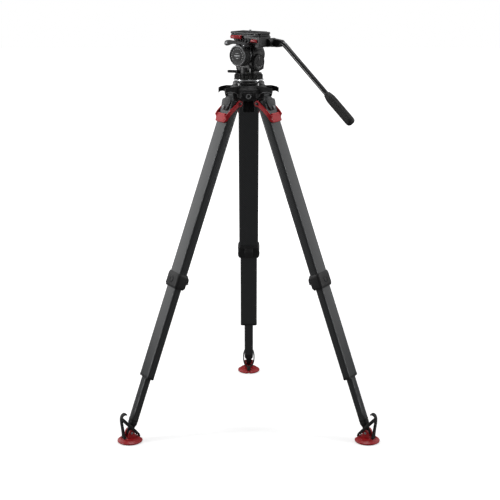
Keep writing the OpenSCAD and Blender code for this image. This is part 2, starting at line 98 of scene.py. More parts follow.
UP = np.array([0.0, 0.0, 1.0])
axis_xy = np.array([joint["pan"]["pos_m"][0], joint["pan"]["pos_m"][1], 0.0])
leg_side = {i: -unit(joint[f"leg_{i}_spread"]["axis"]) for i in LEGS}
leg_place = {i: place(joint[f"leg_{i}_spread"]["pos_m"], leg_side[i],
                      -unit(joint[f"leg_{i}_middle_slide"]["axis"])) for i in LEGS}
foot_place = {i: place(np.array(joint[f"leg_{i}_foot_tilt"]["pos_m"]) * (1, 1, 0), leg_side[i], UP)
              for i in LEGS}
crown_place = {i: place(axis_xy, leg_side[i], UP) for i in LEGS}
socket_place = {i: place(axis_xy, -leg_side[i], UP) for i in LEGS}
head_place = place(axis_xy, -unit(joint["tilt"]["axis"]), UP)
tilt_h = joint["tilt"]["pos_m"][2] / MM
leg_length = np.linalg.norm(np.array(joint["leg_1_foot_tilt"]["pos_m"]) - leg_place[1][0]) / MM
hinge_h = leg_place[1][0][2] / MM
print("tilt axis at", round(tilt_h, 1), "mm, hinges at", round(hinge_h, 1), "mm, legs", round(leg_length, 1))

# %% [markdown]
# ## Shells
# Every new surface here is a grid of points: rows along the piece and columns round it. Walls join the
# neighbouring rings, and the two end rings are closed by a flat face, or meet each other when the piece is
# itself a ring. All the corner numbers come from one index array, so no loop runs over the points.
#
# The sign of the enclosed volume says whether the faces point outwards. Where it is negative, the whole
# shell is turned round. The distances along and round the grid become the piece's own UV map in metres, so
# that a weave keeps its size on every tube.

# %% Shells from grids
def enclosed(points, quads, caps):
    """Volume inside the faces: the sum of the signed tetrahedra from the origin to each triangle."""
    fans = [np.array(quads)[:, [0, 1, 2]], np.array(quads)[:, [0, 2, 3]]]
    for cap in caps:
        fans.append(np.stack([np.full(len(cap) - 2, cap[0]), cap[1:-1], cap[2:]], 1))
    a, b, c = np.moveaxis(points[np.concatenate(fans)], 1, 0)
    return float(np.einsum("ij,ij->i", a, np.cross(b, c)).sum() / 6)


def shell(grid, loop=False):
    """A closed skin over a grid of millimetre points; loop joins the last row to the first."""
    rows, cols = grid.shape[:2]
    index = np.arange(rows * cols).reshape(rows, cols)
    low, high = (index, np.roll(index, -1, 0)) if loop else (index[:-1], index[1:])
    quads = np.stack([low, np.roll(low, -1, 1), np.roll(high, -1, 1), high], -1).reshape(-1, 4)
    caps = [] if loop else [index[0][::-1], index[-1]]
    girth = np.linalg.norm(np.roll(grid, -1, 1) - grid, axis=2)
    around = np.concatenate([[0.0], np.cumsum(girth[girth.sum(1).argmax()])]) * MM
    steps = np.linalg.norm(np.roll(grid, -1, 0) - grid, axis=2).mean(1)
    along = np.concatenate([[0.0], np.cumsum(steps)]) * MM
    r, c = np.meshgrid(np.arange(len(low)), np.arange(cols), indexing="ij")
    u = np.stack([around[c], around[c + 1], around[c + 1], around[c]], -1)
    v = np.stack([along[r], along[r], along[r + 1], along[r + 1]], -1)
    uv = np.stack([u, v], -1).reshape(-1, 4, 2)
    points = grid.reshape(-1, 3)
    if enclosed(points, quads, caps) < 0:
        quads, uv, caps = quads[:, ::-1], uv[:, ::-1], [cap[::-1] for cap in caps]
    return {"points": points, "quads": quads, "caps": caps, "uv": uv}


def moved(part, offset):
    """The same shell shifted by a local offset in millimetres."""
    return {**part, "points": part["points"] + np.asarray(offset, float)}


def turned(part, degrees, axis="z", about=(0, 0, 0)):
    """The same shell turned about a local axis through a point."""
    a = math.radians(degrees)
    i, j = {"x": (1, 2), "y": (2, 0), "z": (0, 1)}[axis]
    points = part["points"] - np.asarray(about, float)
    spun = points.copy()
    spun[:, i] = points[:, i] * math.cos(a) - points[:, j] * math.sin(a)
    spun[:, j] = points[:, i] * math.sin(a) + points[:, j] * math.cos(a)
    return {**part, "points": spun + np.asarray(about, float)}


# %% [markdown]
# ## From shells to objects
# A finished piece is one object made of one or more closed shells, such as a casting and the bolts in it.
# Each shell can have its own finish. Sharp edges are marked where two faces meet at more than thirty-five
# degrees, so that round surfaces shade smoothly and edges stay crisp.

# %% Make a piece
pieces = []


def piece(name, shells, where, body, finishes, slot, *nodes):
    """Joins shells (or pairs of shell and finish number) into one object, which rides on a body."""
    origin, axes = where
    pairs = [s if isinstance(s, tuple) else (s, 0) for s in shells]
    points, faces, uvs, numbers, start = [], [], [], [], 0
    for part, number in pairs:
        world = origin + part["points"] * MM @ axes
        points.append(world)
        faces += (part["quads"] + start).tolist() + [(cap + start).tolist() for cap in part["caps"]]
        uvs.append(part["uv"].reshape(-1, 2))
        for cap in part["caps"]:
            uvs.append(part["points"][cap][:, :2] * MM)
        numbers += [number] * (len(part["quads"]) + len(part["caps"]))
        start += len(part["points"])
    mesh = bpy.data.meshes.new(name)
    mesh.from_pydata(np.concatenate(points), [], faces)
    mesh.uv_layers.new(name="surface").data.foreach_set("uv", np.concatenate(uvs).ravel())
    mesh.polygons.foreach_set("material_index", numbers)
    for finish in finishes if isinstance(finishes, (list, tuple)) else [finishes]:
        mesh.materials.append(finish)
    mesh.shade_smooth()
    mesh.set_sharp_from_angle(angle=math.radians(35))
    obj = bpy.data.objects.new(name, mesh)
    bpy.context.scene.collection.objects.link(obj)
    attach(obj, body)
    if nodes:
        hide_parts(*nodes)
    pieces.append(obj)
    print(name, "-", len(pairs), "shells,", len(faces), "faces, on", body)
    return obj


# %% [markdown]
# ## Outlines
# Most castings and plates are an outline with rounded corners, given a thickness and a small rounded edge.
# A corner is rounded by a quadratic curve between two points that are set back along its edges: all corners
# are worked out together as one array. An edge is rounded by stacking copies of the outline, each moved
# inwards along its normals by one step of a quarter circle.

# %% Outlines and profiles
def rounded(points, radius, steps=6, closed=True):
    """A polygon whose corners are quadratic curves, which start and end a radius away from each corner."""
    p = np.asarray(points, float)
    radius = np.broadcast_to(np.asarray(radius, float), (len(p),))
    before, after = np.roll(p, 1, 0) - p, np.roll(p, -1, 0) - p
    reach_b = np.minimum(radius / np.linalg.norm(before, axis=1), 0.48)[:, None]
    reach_a = np.minimum(radius / np.linalg.norm(after, axis=1), 0.48)[:, None]
    t = np.linspace(0, 1, steps)[None, :, None]
    a, c = (p + before * reach_b)[:, None], (p + after * reach_a)[:, None]
    curve = (1 - t) ** 2 * a + 2 * t * (1 - t) * p[:, None] + t ** 2 * c
    if closed:
        return curve.reshape(-1, 2)
    return np.concatenate([p[:1], curve[1:-1].reshape(-1, 2), p[-1:]])


def rectangle(width, depth, radius, steps=8):
    """A rectangle about the origin with true quarter circles at its corners."""
    quarter = np.linspace(0, math.pi / 2, steps)
    start = np.array([0, 1, 2, 3]) * math.pi / 2
    angle = start[:, None] + quarter
    centre = np.array([[1, 1], [-1, 1], [-1, -1], [1, -1]]) * (width / 2 - radius, depth / 2 - radius)
    arc = np.stack([np.cos(angle), np.sin(angle)], -1) * radius
    return (centre[:, None] + arc).reshape(-1, 2)


def circle(radius, steps=48, centre=(0, 0)):
    """Points round a circle."""
    angle = np.arange(steps) * 2 * math.pi / steps
    return np.stack([np.cos(angle), np.sin(angle)], -1) * radius + centre


def outward(outline):
    """The outward normal at each point, square to the line between its neighbours."""
    run = np.roll(outline, -1, 0) - np.roll(outline, 1, 0)
    normal = np.stack([run[:, 1], -run[:, 0]], -1) / (np.linalg.norm(run, axis=1)[:, None] + 1e-9)
    x, y = outline.T
    anticlockwise = (x * np.roll(y, -1) - y * np.roll(x, -1)).sum() > 0
    return normal if anticlockwise else -normal


def facing(a, b, h, along):
    """Puts an outline's two directions and its height onto the local axes."""
    order = {"z": (a, b, h), "y": (a, h, b), "x": (h, a, b)}[along]
    return np.stack(np.broadcast_arrays(*order), -1)


def slab(outline, low, high, edge=0.8, along="z", steps=4, shrink=0.0):
    """A plate with rounded edges; shrink draws the high face in, as a casting's draft does."""
    turn = np.linspace(0, math.pi / 2, steps)
    inset, rise = edge * (1 - np.sin(turn)), edge * (1 - np.cos(turn))
    insets = np.concatenate([inset, inset[::-1] + shrink])
    heights = np.concatenate([low + rise, high - rise[::-1]])
    rings = outline - outward(outline) * insets[:, None, None]
    return shell(facing(rings[..., 0], rings[..., 1], heights[:, None], along))


def pipe(outer, inner, low, high, edge=0.4, along="z"):
    """A hollow section between two outlines of the same number of points, with chamfered ends."""
    step = outward(outer) * edge
    rows = [outer - step, outer, outer, outer - step, inner, inner]
    heights = [low, low + edge, high - edge, high, high, low]
    rings = np.stack(rows)
    return shell(facing(rings[..., 0], rings[..., 1], np.array(heights)[:, None], along), loop=True)


def lathe(profile, along="z", steps=72, loop=False, ripple=None):
    """A profile of (radius, height) turned about an axis; ripple(angle, height) is added to the radius."""
    profile = np.asarray(profile, float)
    angle = np.arange(steps) * 2 * math.pi / steps
    radius = np.repeat(profile[:, :1], steps, 1)
    if ripple is not None:
        radius = radius + ripple(angle[None, :], profile[:, 1:])
    grid = facing(radius * np.cos(angle), radius * np.sin(angle), profile[:, 1:], along)
    return shell(grid, loop)


def sweep(path, section, up, scale=1.0):
    """A section carried along a path; at each point it stands square to the path, turned towards up."""
    path = np.asarray(path, float)
    ahead = np.gradient(path, axis=0)
    ahead /= np.linalg.norm(ahead, axis=1)[:, None]
    side = np.cross(up, ahead)
    side /= np.linalg.norm(side, axis=1)[:, None]
    rise = np.cross(ahead, side)
    scale = np.broadcast_to(np.asarray(scale, float), (len(path),))[:, None, None]
    grid = path[:, None] + scale * (section[None, :, :1] * side[:, None]
                                    + section[None, :, 1:] * rise[:, None])
    return shell(grid)


def flowing(points, steps=10):
    """A smooth line through all the points: each span is a Catmull-Rom cubic."""
    p = np.asarray(points, float)
    p = np.concatenate([2 * p[:1] - p[1:2], p, 2 * p[-1:] - p[-2:-1]])
    t = np.linspace(0, 1, steps, endpoint=False)[None, :, None]
    a, b, c, d = (p[k:len(p) - 3 + k, None] for k in range(4))
    curve = (b + (c - a) / 2 * t + (a - 2.5 * b + 2 * c - d / 2) * t ** 2
             + (1.5 * (b - c) + (d - a) / 2) * t ** 3)
    return np.concatenate([curve.reshape(-1, p.shape[1]), p[-2:-1]])


def bolt(radius, height, socket=0.52):
    """A cap bolt's head; its socket's radius is the flat's distance over a cosine, a hexagon."""
    hollow = radius * socket

    def hexagon(angle, h):
        flat = 1 / np.cos((angle + math.pi / 6) % (math.pi / 3) - math.pi / 6)
        in_socket = np.abs(h - height * 0.65) < height * 0.29
        return np.where(in_socket & (h != height * 0.8), hollow * (flat - 1), 0.0)
    profile = [(radius * 0.96, 0), (radius, height * 0.1), (radius, height * 0.8), (radius * 0.86, height),
               (hollow * 1.2, height), (hollow, height * 0.93), (hollow, height * 0.4),
               (hollow * 0.3, height * 0.34)]
    return lathe(profile, steps=36, ripple=hexagon)


print("shape helpers are ready")

# %% [markdown]
# ## Effects that finishes share
# Cast and moulded surfaces have a fine grain, and handled ones have soft scuffs that change the gloss. Both
# are node groups, built once, so that each finish only gives its own sizes and strengths. They put out a
# height and a mask, and the shader itself stays in the material.

# %% Node groups
def group(name, inputs, outputs):
    """An empty shader group with named sockets; returns the tree and its two end nodes."""
    tree = bpy.data.node_groups.new(name, "ShaderNodeTree")
    for label, kind, value in inputs:
        socket = tree.interface.new_socket(label, in_out="INPUT", socket_type=kind)
        if value is not None:
            socket.default_value = value
    for label, kind in outputs:
        tree.interface.new_socket(label, in_out="OUTPUT", socket_type=kind)
    return tree, tree.nodes.new("NodeGroupInput"), tree.nodes.new("NodeGroupOutput")


def node(tree, kind, settings=(), **inputs):
    """Adds a node; inputs are values or sockets, and settings are the node's own choices."""
    made = tree.nodes.new(kind)
    for key, value in dict(settings).items():
        setattr(made, key, value)
    for key, value in inputs.items():
        label = key.replace("_", " ")
        names = [s.name for s in made.inputs]
        numbered = key[0] == "i" and key[1:].isdigit()
        socket = made.inputs[int(key[1:]) if numbered else names.index(label)]
        if isinstance(value, bpy.types.NodeSocket):
            tree.links.new(value, socket)
        else:
            socket.default_value = value
    return made


def maths(tree, operation, a, b=0.0, c=0.0):
    """One Math node; returns its output."""
    return node(tree, "ShaderNodeMath", {"operation": operation}, i0=a, i1=b, i2=c).outputs[0]


def make_grain():
    """Fine bumps of two sizes, as on powder coat and moulded plastic."""
    tree, g_in, g_out = group("fine_grain",
                              [("Vector", "NodeSocketVector", None), ("Size", "NodeSocketFloat", 900.0)],
                              [("Height", "NodeSocketFloat"), ("Mask", "NodeSocketFloat")])
    fine = node(tree, "ShaderNodeTexNoise", Vector=g_in.outputs[0], Scale=g_in.outputs[1], Detail=3.0)
    third = maths(tree, "MULTIPLY", g_in.outputs[1], 0.31)
    coarse = node(tree, "ShaderNodeTexVoronoi", {"feature": "SMOOTH_F1"}, Vector=g_in.outputs[0],
                  Scale=third)
    height = maths(tree, "MULTIPLY_ADD", coarse.outputs["Distance"], 0.45, fine.outputs[0])
    tree.links.new(height, g_out.inputs[0])
    tree.links.new(fine.outputs[0], g_out.inputs[1])
    return tree


def make_handling():
    """Soft blotches with thin scratches through them: where hands and cases have polished a surface."""
    tree, g_in, g_out = group("handling",
                              [("Vector", "NodeSocketVector", None), ("Size", "NodeSocketFloat", 18.0)],
                              [("Smudge", "NodeSocketFloat"), ("Scratch", "NodeSocketFloat")])
    smudge = node(tree, "ShaderNodeTexNoise", Vector=g_in.outputs[0], Scale=g_in.outputs[1], Detail=4.0,
                  Distortion=0.6)
    soft = node(tree, "ShaderNodeMapRange", Value=smudge.outputs[0], From_Min=0.35, From_Max=0.7)
    stretch = node(tree, "ShaderNodeMapping", Vector=g_in.outputs[0], Rotation=(0.5, 0.3, 0.9),
                   Scale=(900, 40, 60))
    lines = node(tree, "ShaderNodeTexNoise", Vector=stretch.outputs[0], Scale=1.0, Detail=2.0)
    thin = node(tree, "ShaderNodeMapRange", Value=lines.outputs[0], From_Min=0.68, From_Max=0.74)
    tree.links.new(soft.outputs[0], g_out.inputs[0])
    tree.links.new(thin.outputs[0], g_out.inputs[1])
    return tree


def make_weave():
    """A two-by-two twill: each tow passes over two and under two, one step further on each row."""
    tree, g_in, g_out = group("carbon_weave",
                              [("Vector", "NodeSocketVector", None), ("Tow", "NodeSocketFloat", 0.002)],
                              [("Warp", "NodeSocketFloat"), ("Height", "NodeSocketFloat")])
    split = node(tree, "ShaderNodeSeparateXYZ", Vector=g_in.outputs[0])
    u = maths(tree, "DIVIDE", split.outputs[0], g_in.outputs[1])
    v = maths(tree, "DIVIDE", split.outputs[1], g_in.outputs[1])
    stair = maths(tree, "ADD", maths(tree, "FLOOR", u), maths(tree, "FLOOR", v))
    warp = maths(tree, "LESS_THAN", maths(tree, "FLOORED_MODULO", stair, 4.0), 1.5)
    across_u = maths(tree, "PINGPONG", u, 0.5)
    across_v = maths(tree, "PINGPONG", v, 0.5)
    chosen = node(tree, "ShaderNodeMix", {"data_type": "FLOAT"}, i0=warp, i2=across_v, i3=across_u)
    tree.links.new(warp, g_out.inputs[0])
    tree.links.new(chosen.outputs[0], g_out.inputs[1])
    return tree


GRAIN, HANDLING, WEAVE = make_grain(), make_handling(), make_weave()
print("node groups:", GRAIN.name, HANDLING.name, WEAVE.name)

# %% [markdown]
# ## One recipe for most finishes
# Paint, plastic, rubber and anodised metal differ in colour, gloss and grain, but they are built the same
# way. The colour wanders a little between two tones, the gloss changes where the surface has been handled,
# and the grain is a bump a few hundredths of a millimetre deep. Values that are the same all over, such as
# the coat, are set on the shader itself.

# %% The common recipe
def placed(tree, group_tree, vector, **inputs):
    """Puts a node group into a material."""
    made = tree.nodes.new("ShaderNodeGroup")
    made.node_tree = group_tree
    tree.links.new(vector, made.inputs["Vector"])
    for key, value in inputs.items():
        made.inputs[key].default_value = value
    return made


def start_material(name):
    """A new material: its tree, its shader and its object coordinates."""
    made = bpy.data.materials.new(name)
    made.use_nodes = True
    tree = made.node_tree
    return made, tree, tree.nodes["Principled BSDF"], tree.nodes.new("ShaderNodeTexCoord")


def blend_colour(tree, mask, low, high):
    """Mixes two colours by a mask."""
    mix = node(tree, "ShaderNodeMix", {"data_type": "RGBA"}, i0=mask)
    for socket, value in zip([s for s in mix.inputs if s.type == "RGBA"], (low, high)):
        if isinstance(value, bpy.types.NodeSocket):
            tree.links.new(value, socket)
        else:
            socket.default_value = (*value, 1.0)
    return next(s for s in mix.outputs if s.type == "RGBA")


def finish(name, dark, light, rough, spread=0.08, grain=1100.0, depth=0.03, metal=0.0, coat=0.0,
           coat_rough=0.1,
           worn=None, ior=1.5):
    """A coated or moulded surface: grain per metre, depth in millimetres, worn is scratch colour."""
    made, tree, shader, coords = start_material(name)
    where = coords.outputs["Object"]
    handled = placed(tree, HANDLING, where, Size=22.0)
    fine = placed(tree, GRAIN, where, Size=grain)
    tone = blend_colour(tree, fine.outputs["Mask"], dark, light)
    if worn is not None:
        faint = maths(tree, "MULTIPLY", handled.outputs["Scratch"], 0.5)
        tone = blend_colour(tree, faint, tone, worn)
    tree.links.new(tone, shader.inputs["Base Color"])
    gloss = node(tree, "ShaderNodeMapRange", Value=handled.outputs["Smudge"], To_Min=rough + spread / 2,
                 To_Max=rough - spread / 2)
    tree.links.new(gloss.outputs[0], shader.inputs["Roughness"])
    bump = node(tree, "ShaderNodeBump", Distance=depth * MM, Strength=1.0, Height=fine.outputs["Height"])
    tree.links.new(bump.outputs[0], shader.inputs["Normal"])
    shader.inputs["Metallic"].default_value = metal
    shader.inputs["Coat Weight"].default_value = coat
    shader.inputs["Coat Roughness"].default_value = coat_rough
    shader.inputs["IOR"].default_value = ior
    return made


casting = finish("satin_black_casting", (0.010, 0.010, 0.011), (0.017, 0.017, 0.018), 0.36, 0.10, 1500, 0.02,
                 coat=0.15, coat_rough=0.25, worn=(0.09, 0.09, 0.09))
# Gloss black is the bowl flange's own enamel, and on the crown blocks it is also painted shade in place of
# the sunk pocket.
black_enamel_and_pocket_shade = finish("black_enamel_and_painted_pocket_shade", (0.007, 0.007, 0.008), (0.010, 0.010, 0.011), 0.22, 0.08, 700,
                     0.006,
                     coat=0.8, coat_rough=0.08)
leg_casting = finish("grey_magnesium_paint", (0.024, 0.025, 0.026), (0.038, 0.039, 0.041), 0.40, 0.10, 1300,
                     0.03,
                     metal=0.2, coat=0.2, coat_rough=0.2, worn=(0.2, 0.2, 0.2))
# Pale grey: the drag dial's bevel and ticks and the socket ring, and also painted highlight on the hoods'
# arches.
pale_grey_trim_and_painted_highlight = finish("pale_grey_trim_and_painted_highlight_finish", (0.26, 0.265, 0.27), (0.33, 0.335, 0.34), 0.38, 0.1, 1200, 0.01,
                   metal=0.5)
moulded = finish("moulded_black_nylon", (0.011, 0.011, 0.012), (0.018, 0.018, 0.019), 0.50, 0.12, 900, 0.035)
red_lever = finish("red_anodised_lever", (0.48, 0.005, 0.012), (0.60, 0.010, 0.020), 0.42, 0.10, 1300, 0.008,
                   coat=0.15, coat_rough=0.12, worn=(0.75, 0.12, 0.12))
red_rubber = finish("red_foot_rubber", (0.42, 0.006, 0.010), (0.52, 0.012, 0.018), 0.36, 0.12, 420, 0.05,
                    coat=0.35, coat_rough=0.22)
rubber = finish("black_rubber", (0.012, 0.012, 0.012), (0.020, 0.020, 0.020), 0.62, 0.14, 650, 0.05)
paint_white = finish("white_index_paint", (0.72, 0.73, 0.73), (0.82, 0.82, 0.82), 0.45, 0.06, 800, 0.01)
dial_grey = finish("dial_grey_satin", (0.16, 0.163, 0.168), (0.21, 0.213, 0.218), 0.34, 0.08, 1600, 0.01,
                   metal=0.6, worn=(0.4, 0.4, 0.4))
print(len(bpy.data.materials), "materials so far")

# %% [markdown]
# ## Carbon, machined metal and glass
# A carbon tube is a woven cloth under a clear coat. The twill shows as two greys, because the tows that run
# along the tube and those that run round it catch the light differently. Long faint streaks under the weave
# are the tows' own fibres. The weave follows the tube's UV map, in metres, so a tow is two millimetres wide.
#
# Turned metal has fine rings round its axis, made by noise that is stretched along the turn. The level's
# glass keeps a plain transmission, so that it exports as glass.

# %% Special materials
def carbon(name, dark, light, rough):
    """Clear-coated twill on the piece's own UV map."""
    made, tree, shader, coords = start_material(name)
    twill = placed(tree, WEAVE, coords.outputs["UV"], Tow=0.002)
    stretch = node(tree, "ShaderNodeMapping", Vector=coords.outputs["UV"], Scale=(2600.0, 14.0, 1.0))
    fibres = node(tree, "ShaderNodeTexNoise", Vector=stretch.outputs[0], Scale=1.0, Detail=3.0)
    mask = maths(tree, "MULTIPLY_ADD", twill.outputs["Warp"], 0.45,
                 maths(tree, "MULTIPLY", fibres.outputs[0], 0.6))
    tree.links.new(blend_colour(tree, mask, dark, light), shader.inputs["Base Color"])
    gloss = maths(tree, "MULTIPLY_ADD", fibres.outputs[0], 0.12, rough)
    tree.links.new(gloss, shader.inputs["Roughness"])
    bump = node(tree, "ShaderNodeBump", Distance=0.00002, Height=twill.outputs["Height"])
    tree.links.new(bump.outputs[0], shader.inputs["Normal"])
    shader.inputs["Metallic"].default_value = 0.25
    shader.inputs["Coat Weight"].default_value = 0.55
    shader.inputs["Coat Roughness"].default_value = 0.22
    return made


def machined(name, colour, rough, stretch_scale):
    """Bare metal with fine tool lines, from noise stretched across them."""
    made, tree, shader, coords = start_material(name)
    stretch = node(tree, "ShaderNodeMapping", Vector=coords.outputs["Object"], Scale=stretch_scale)
    lines = node(tree, "ShaderNodeTexNoise", Vector=stretch.outputs[0], Scale=1.0, Detail=4.0)
    low, high = tuple(0.82 * c for c in colour), colour
    tree.links.new(blend_colour(tree, lines.outputs[0], low, high), shader.inputs["Base Color"])
    tree.links.new(maths(tree, "MULTIPLY_ADD", lines.outputs[0], 0.16, rough), shader.inputs["Roughness"])
    bump = node(tree, "ShaderNodeBump", Distance=0.000008, Height=lines.outputs[0])
    tree.links.new(bump.outputs[0], shader.inputs["Normal"])
    shader.inputs["Metallic"].default_value = 1.0
    return made


def level_fluid(name):
    """Clear yellow-green glass with a faint change of tint."""
    made, tree, shader, coords = start_material(name)
    cloud = node(tree, "ShaderNodeTexNoise", Vector=coords.outputs["Object"], Scale=160.0)
    tree.links.new(blend_colour(tree, cloud.outputs[0], (0.55, 0.8, 0.15), (0.7, 0.9, 0.25)),
                   shader.inputs["Base Color"])
    shader.inputs["Transmission Weight"].default_value = 0.7
    shader.inputs["Roughness"].default_value = 0.05
    return made


bar_lacquer = finish("grey_bar_lacquer", (0.030, 0.031, 0.032), (0.046, 0.047, 0.049), 0.26, 0.08, 900,
                     0.006,
                     metal=0.5, coat=0.5, coat_rough=0.14)
carbon_outer = carbon("carbon_twill", (0.026, 0.028, 0.030), (0.058, 0.061, 0.064), 0.30)
silver = machined("turned_aluminium", (0.78, 0.79, 0.80), 0.22, (60.0, 60.0, 4000.0))
steel = machined("ground_steel", (0.55, 0.56, 0.57), 0.24, (900.0, 900.0, 900.0))
spring_steel = machined("blued_spring_steel", (0.24, 0.25, 0.29), 0.30, (300.0, 1800.0, 300.0))
level_glass = level_fluid("level_fluid")
print("materials:", ", ".join(m.name for m in (carbon_outer, silver, steel, spring_steel, level_glass)))

# %% [markdown]
# ## Leg tubes
# Each leg has three flat carbon tubes, one inside the other. A flat tube resists the twist that would spoil
# a pan. The outline is a rounded rectangle, and a pipe of two outlines has true walls, so the open ends look
# right when a stage slides out.

# %% Carbon tubes
upper = {"depth": 28.0, "width": 61.5, "radius": 6.0, "wall": 1.75, "top": 30, "end": 590}
middle = {"depth": 23.8, "width": 54.5, "radius": 5.4, "wall": 1.6, "top": 348, "end": 872}
lower = {"depth": 19.9, "width": 29.0, "radius": 5.0, "wall": 1.5, "top": 520, "end": 1010}


def carbon_tube(stage):
    """A hollow rounded section from the stage's top to its end, down the leg."""
    outer = rectangle(stage["depth"], stage["width"], stage["radius"], 10)
    inner = rectangle(stage["depth"] - 2 * stage["wall"], stage["width"] - 2 * stage["wall"],
                      stage["radius"] - stage["wall"] / 2, 10)
    return pipe(outer, inner, -stage["end"], -stage["top"], 0.5)


for i in LEGS:
    piece(f"carbon_upper_{i}", [carbon_tube(upper)], leg_place[i], f"leg_{i}", carbon_outer, "carbon_tube",
          f"upper_tube_{i}")
    piece(f"carbon_middle_{i}", [carbon_tube(middle)], leg_place[i], f"middle_{i}", carbon_outer,
          "carbon_tube",
          f"middle_tube_{i}")
    piece(f"carbon_lower_{i}", [carbon_tube(lower)], leg_place[i], f"lower_{i}", carbon_outer, "carbon_tube",
          f"lower_tube_{i}")

# %% [markdown]
# ## Collars and clamps
# A moulded collar closes the upper tube and guides the middle one. It flares a little from the tube, and its
# inner side has a block with a bore, where a spreader arm plugs in. The whole body is one stack of rounded
# rectangles that change in size: a ladder of sections. The lower clamp is a thin cap of the same kind.

# %% Middle collars and lower clamps
def ladder(rungs, steps=8):
    """A solid through rounded rectangles: each rung is (height, depth, width, radius, shift along X)."""
    rings = np.stack([rectangle(d, w, r, steps) + (shift, 0) for _, d, w, r, shift in rungs])
    heights = np.array([rung[0] for rung in rungs], float)
    return shell(facing(rings[..., 0], rings[..., 1], heights[:, None], "z"))


def sleeve(rungs, bore_depth, bore_width, bore_radius, steps=8):
    """A ladder with a straight rounded bore right through it."""
    outer = np.stack([rectangle(d, w, r, steps) + (shift, 0) for _, d, w, r, shift in rungs])
    heights = np.array([rung[0] for rung in rungs], float)
    bore = np.broadcast_to(rectangle(bore_depth, bore_width, bore_radius, steps), (2, *outer.shape[1:]))
    rings = np.concatenate([outer, bore])
    heights = np.concatenate([heights, heights[[-1, 0]]])
    return shell(facing(rings[..., 0], rings[..., 1], heights[:, None], "z"), loop=True)


def middle_collar():
    """The flared sleeve, the spreader block with its bore, an outer lug and two clamp screws."""
    body = sleeve([(-550, 31, 64.5, 6.5, 0), (-551.5, 33.5, 67, 7.5, -0.6), (-556, 37, 69.4, 8.5, -1),
                   (-563, 38, 70, 9, -1), (-588, 38, 70, 9, -1), (-591, 37, 69, 8.6, -1),
                   (-592.5, 34, 66, 8, -0.6), (-596, 33, 65, 7.6, -0.4)], 28.1, 61.6, 6.2)
    ring = sleeve([(-589, 28.4, 61.8, 6.2, 0), (-595.8, 28.4, 61.8, 6.2, 0)], 24.1, 54.9, 5.8)
    block = rounded([(-18, -552), (-30, -558), (-34, -564), (-34, -576), (-30, -582), (-18, -590)], 3.5)
    hook = slab(block, -13, 13, 1.4, "y")
    hole = [moved(lathe([(6.2, y), (6.2, y + 1.6), (4.2, y + 1.6), (4.0, y)], "y", 32, loop=True),
                  (-27, 0, -570))
            for y in (-14.2, 12.6)]
    lug = moved(lathe([(10, -1), (10, 1.6), (9, 2.6), (7, 3), (6.6, 2.2), (3, 2.2)], "x", 40), (17, 0, -573))
    belt = [sleeve([(z, 38.6, 70.6, 9.2, -1), (z - 1.6, 38.6, 70.6, 9.2, -1)], 34, 66, 8) for z in (-561,
                                                                                                    -587)]
    screw = [moved(turned(bolt(2.6, 2.0), 90 * s, "x"), (-20, -s * 33.8, -573)) for s in (-1, 1)]
    return [body, ring, hook, *hole, lug, *belt, *[(part, 1) for part in screw]]


for i in LEGS:
    piece(f"collar_{i}", middle_collar(), leg_place[i], f"leg_{i}", [moulded, steel], "black_plastic",
          f"mid_collar_{i}")
    cap = sleeve([(-847, 20.4, 51.1, 3.8, 0), (-872, 20.4, 51.1, 3.8, 0), (-872.1, 24.4, 55.1, 5.6, 0),
                  (-877.6, 24.4, 55.1, 5.6, 0), (-879, 23, 53.6, 5, 0)], 20.3, 29.4, 5.2)
    piece(f"stage_cap_{i}", [cap], leg_place[i], f"middle_{i}", moulded, "black_plastic", f"lower_clamp_{i}")

# %% [markdown]
# ## Leg heads
# A painted magnesium casting joins the tube to the crown. It is narrow at the hinge and grows to the full
# width of the tube, where it wraps the tube's end. On the outside a tapered tongue reaches down over the
# tube and takes the brake rod's bolt. The stack of rectangles makes the shoulders, and a rounded outline
# with a draft makes the tongue.

# %% Leg head castings
head_pivot = (-9.0, -21.0)


def leg_head():
    """Knuckle, shoulders, tongue, bolt, ribs and the pins of the brake lever."""
    knuckle = lathe([(10.6, -19.5), (12, -18.2), (12, 18.2), (10.6, 19.5)], "y", 56)
    shoulders = ladder([(-2, 20, 37, 5, 0), (-8, 21, 40, 6, 0), (-13, 25.5, 50, 8, 0),
                        (-17, 29.4, 61.5, 8, 0),
                        (-19, 30, 62.9, 8, 0), (-29, 30, 62.9, 8, 0), (-31, 29.6, 62.6, 7.4, 0)])
    wrap = sleeve([(-29, 30, 62.9, 7.4, 0), (-38, 30, 62.9, 7.4, 0), (-40, 28.8, 62.1, 6.6, 0)], 28.1, 61.6,
                  6.1)
    outline = rounded([(-26, -17), (26, -17), (27, -28), (16, -52), (-16, -52), (-27, -28)],
                      (3, 3, 6, 7, 7, 6))
    tongue = slab(outline, 5, 19.4, 2.2, "x", 5, shrink=1.2)
    hollow = rounded([(-17, -21), (17, -21), (18, -28), (11, -36), (-11, -36), (-18, -28)], 3)
    panel = slab(hollow, 18.6, 19.8, 0.5, "x")
    boss = moved(lathe([(7.6, 17), (7.6, 20), (6.8, 20.8), (5.4, 20.8)], "x", 36), (0, 0, -44))
    ribs = [slab(rounded([(-9, -10), (9, -10), (15, -19), (-15, -19)], 2), y - 1.2, y + 1.2, 0.5, "y")
            for y in (-24, 0, 24)]
    tube_bolt = moved(turned(bolt(4.6, 3.0), 90, "y"), (20.4, 0, -44))
    pins = [moved(lathe([(3, 24), (3, 36), (2.4, 37)], "y", 28), (head_pivot[0], 0, head_pivot[1])),
            moved(lathe([(3, -24), (3, -36), (2.4, -37)], "y", 28), (head_pivot[0], 0, head_pivot[1]))]
    return [knuckle, shoulders, wrap, tongue, (panel, 1), boss, *ribs, (tube_bolt, 2),
            *[(p, 2) for p in pins]]


for i in LEGS:
    piece(f"leg_casting_{i}", leg_head(), leg_place[i], f"leg_{i}", [leg_casting, casting, steel],
          "grey_casting",
          f"leg_head_{i}")

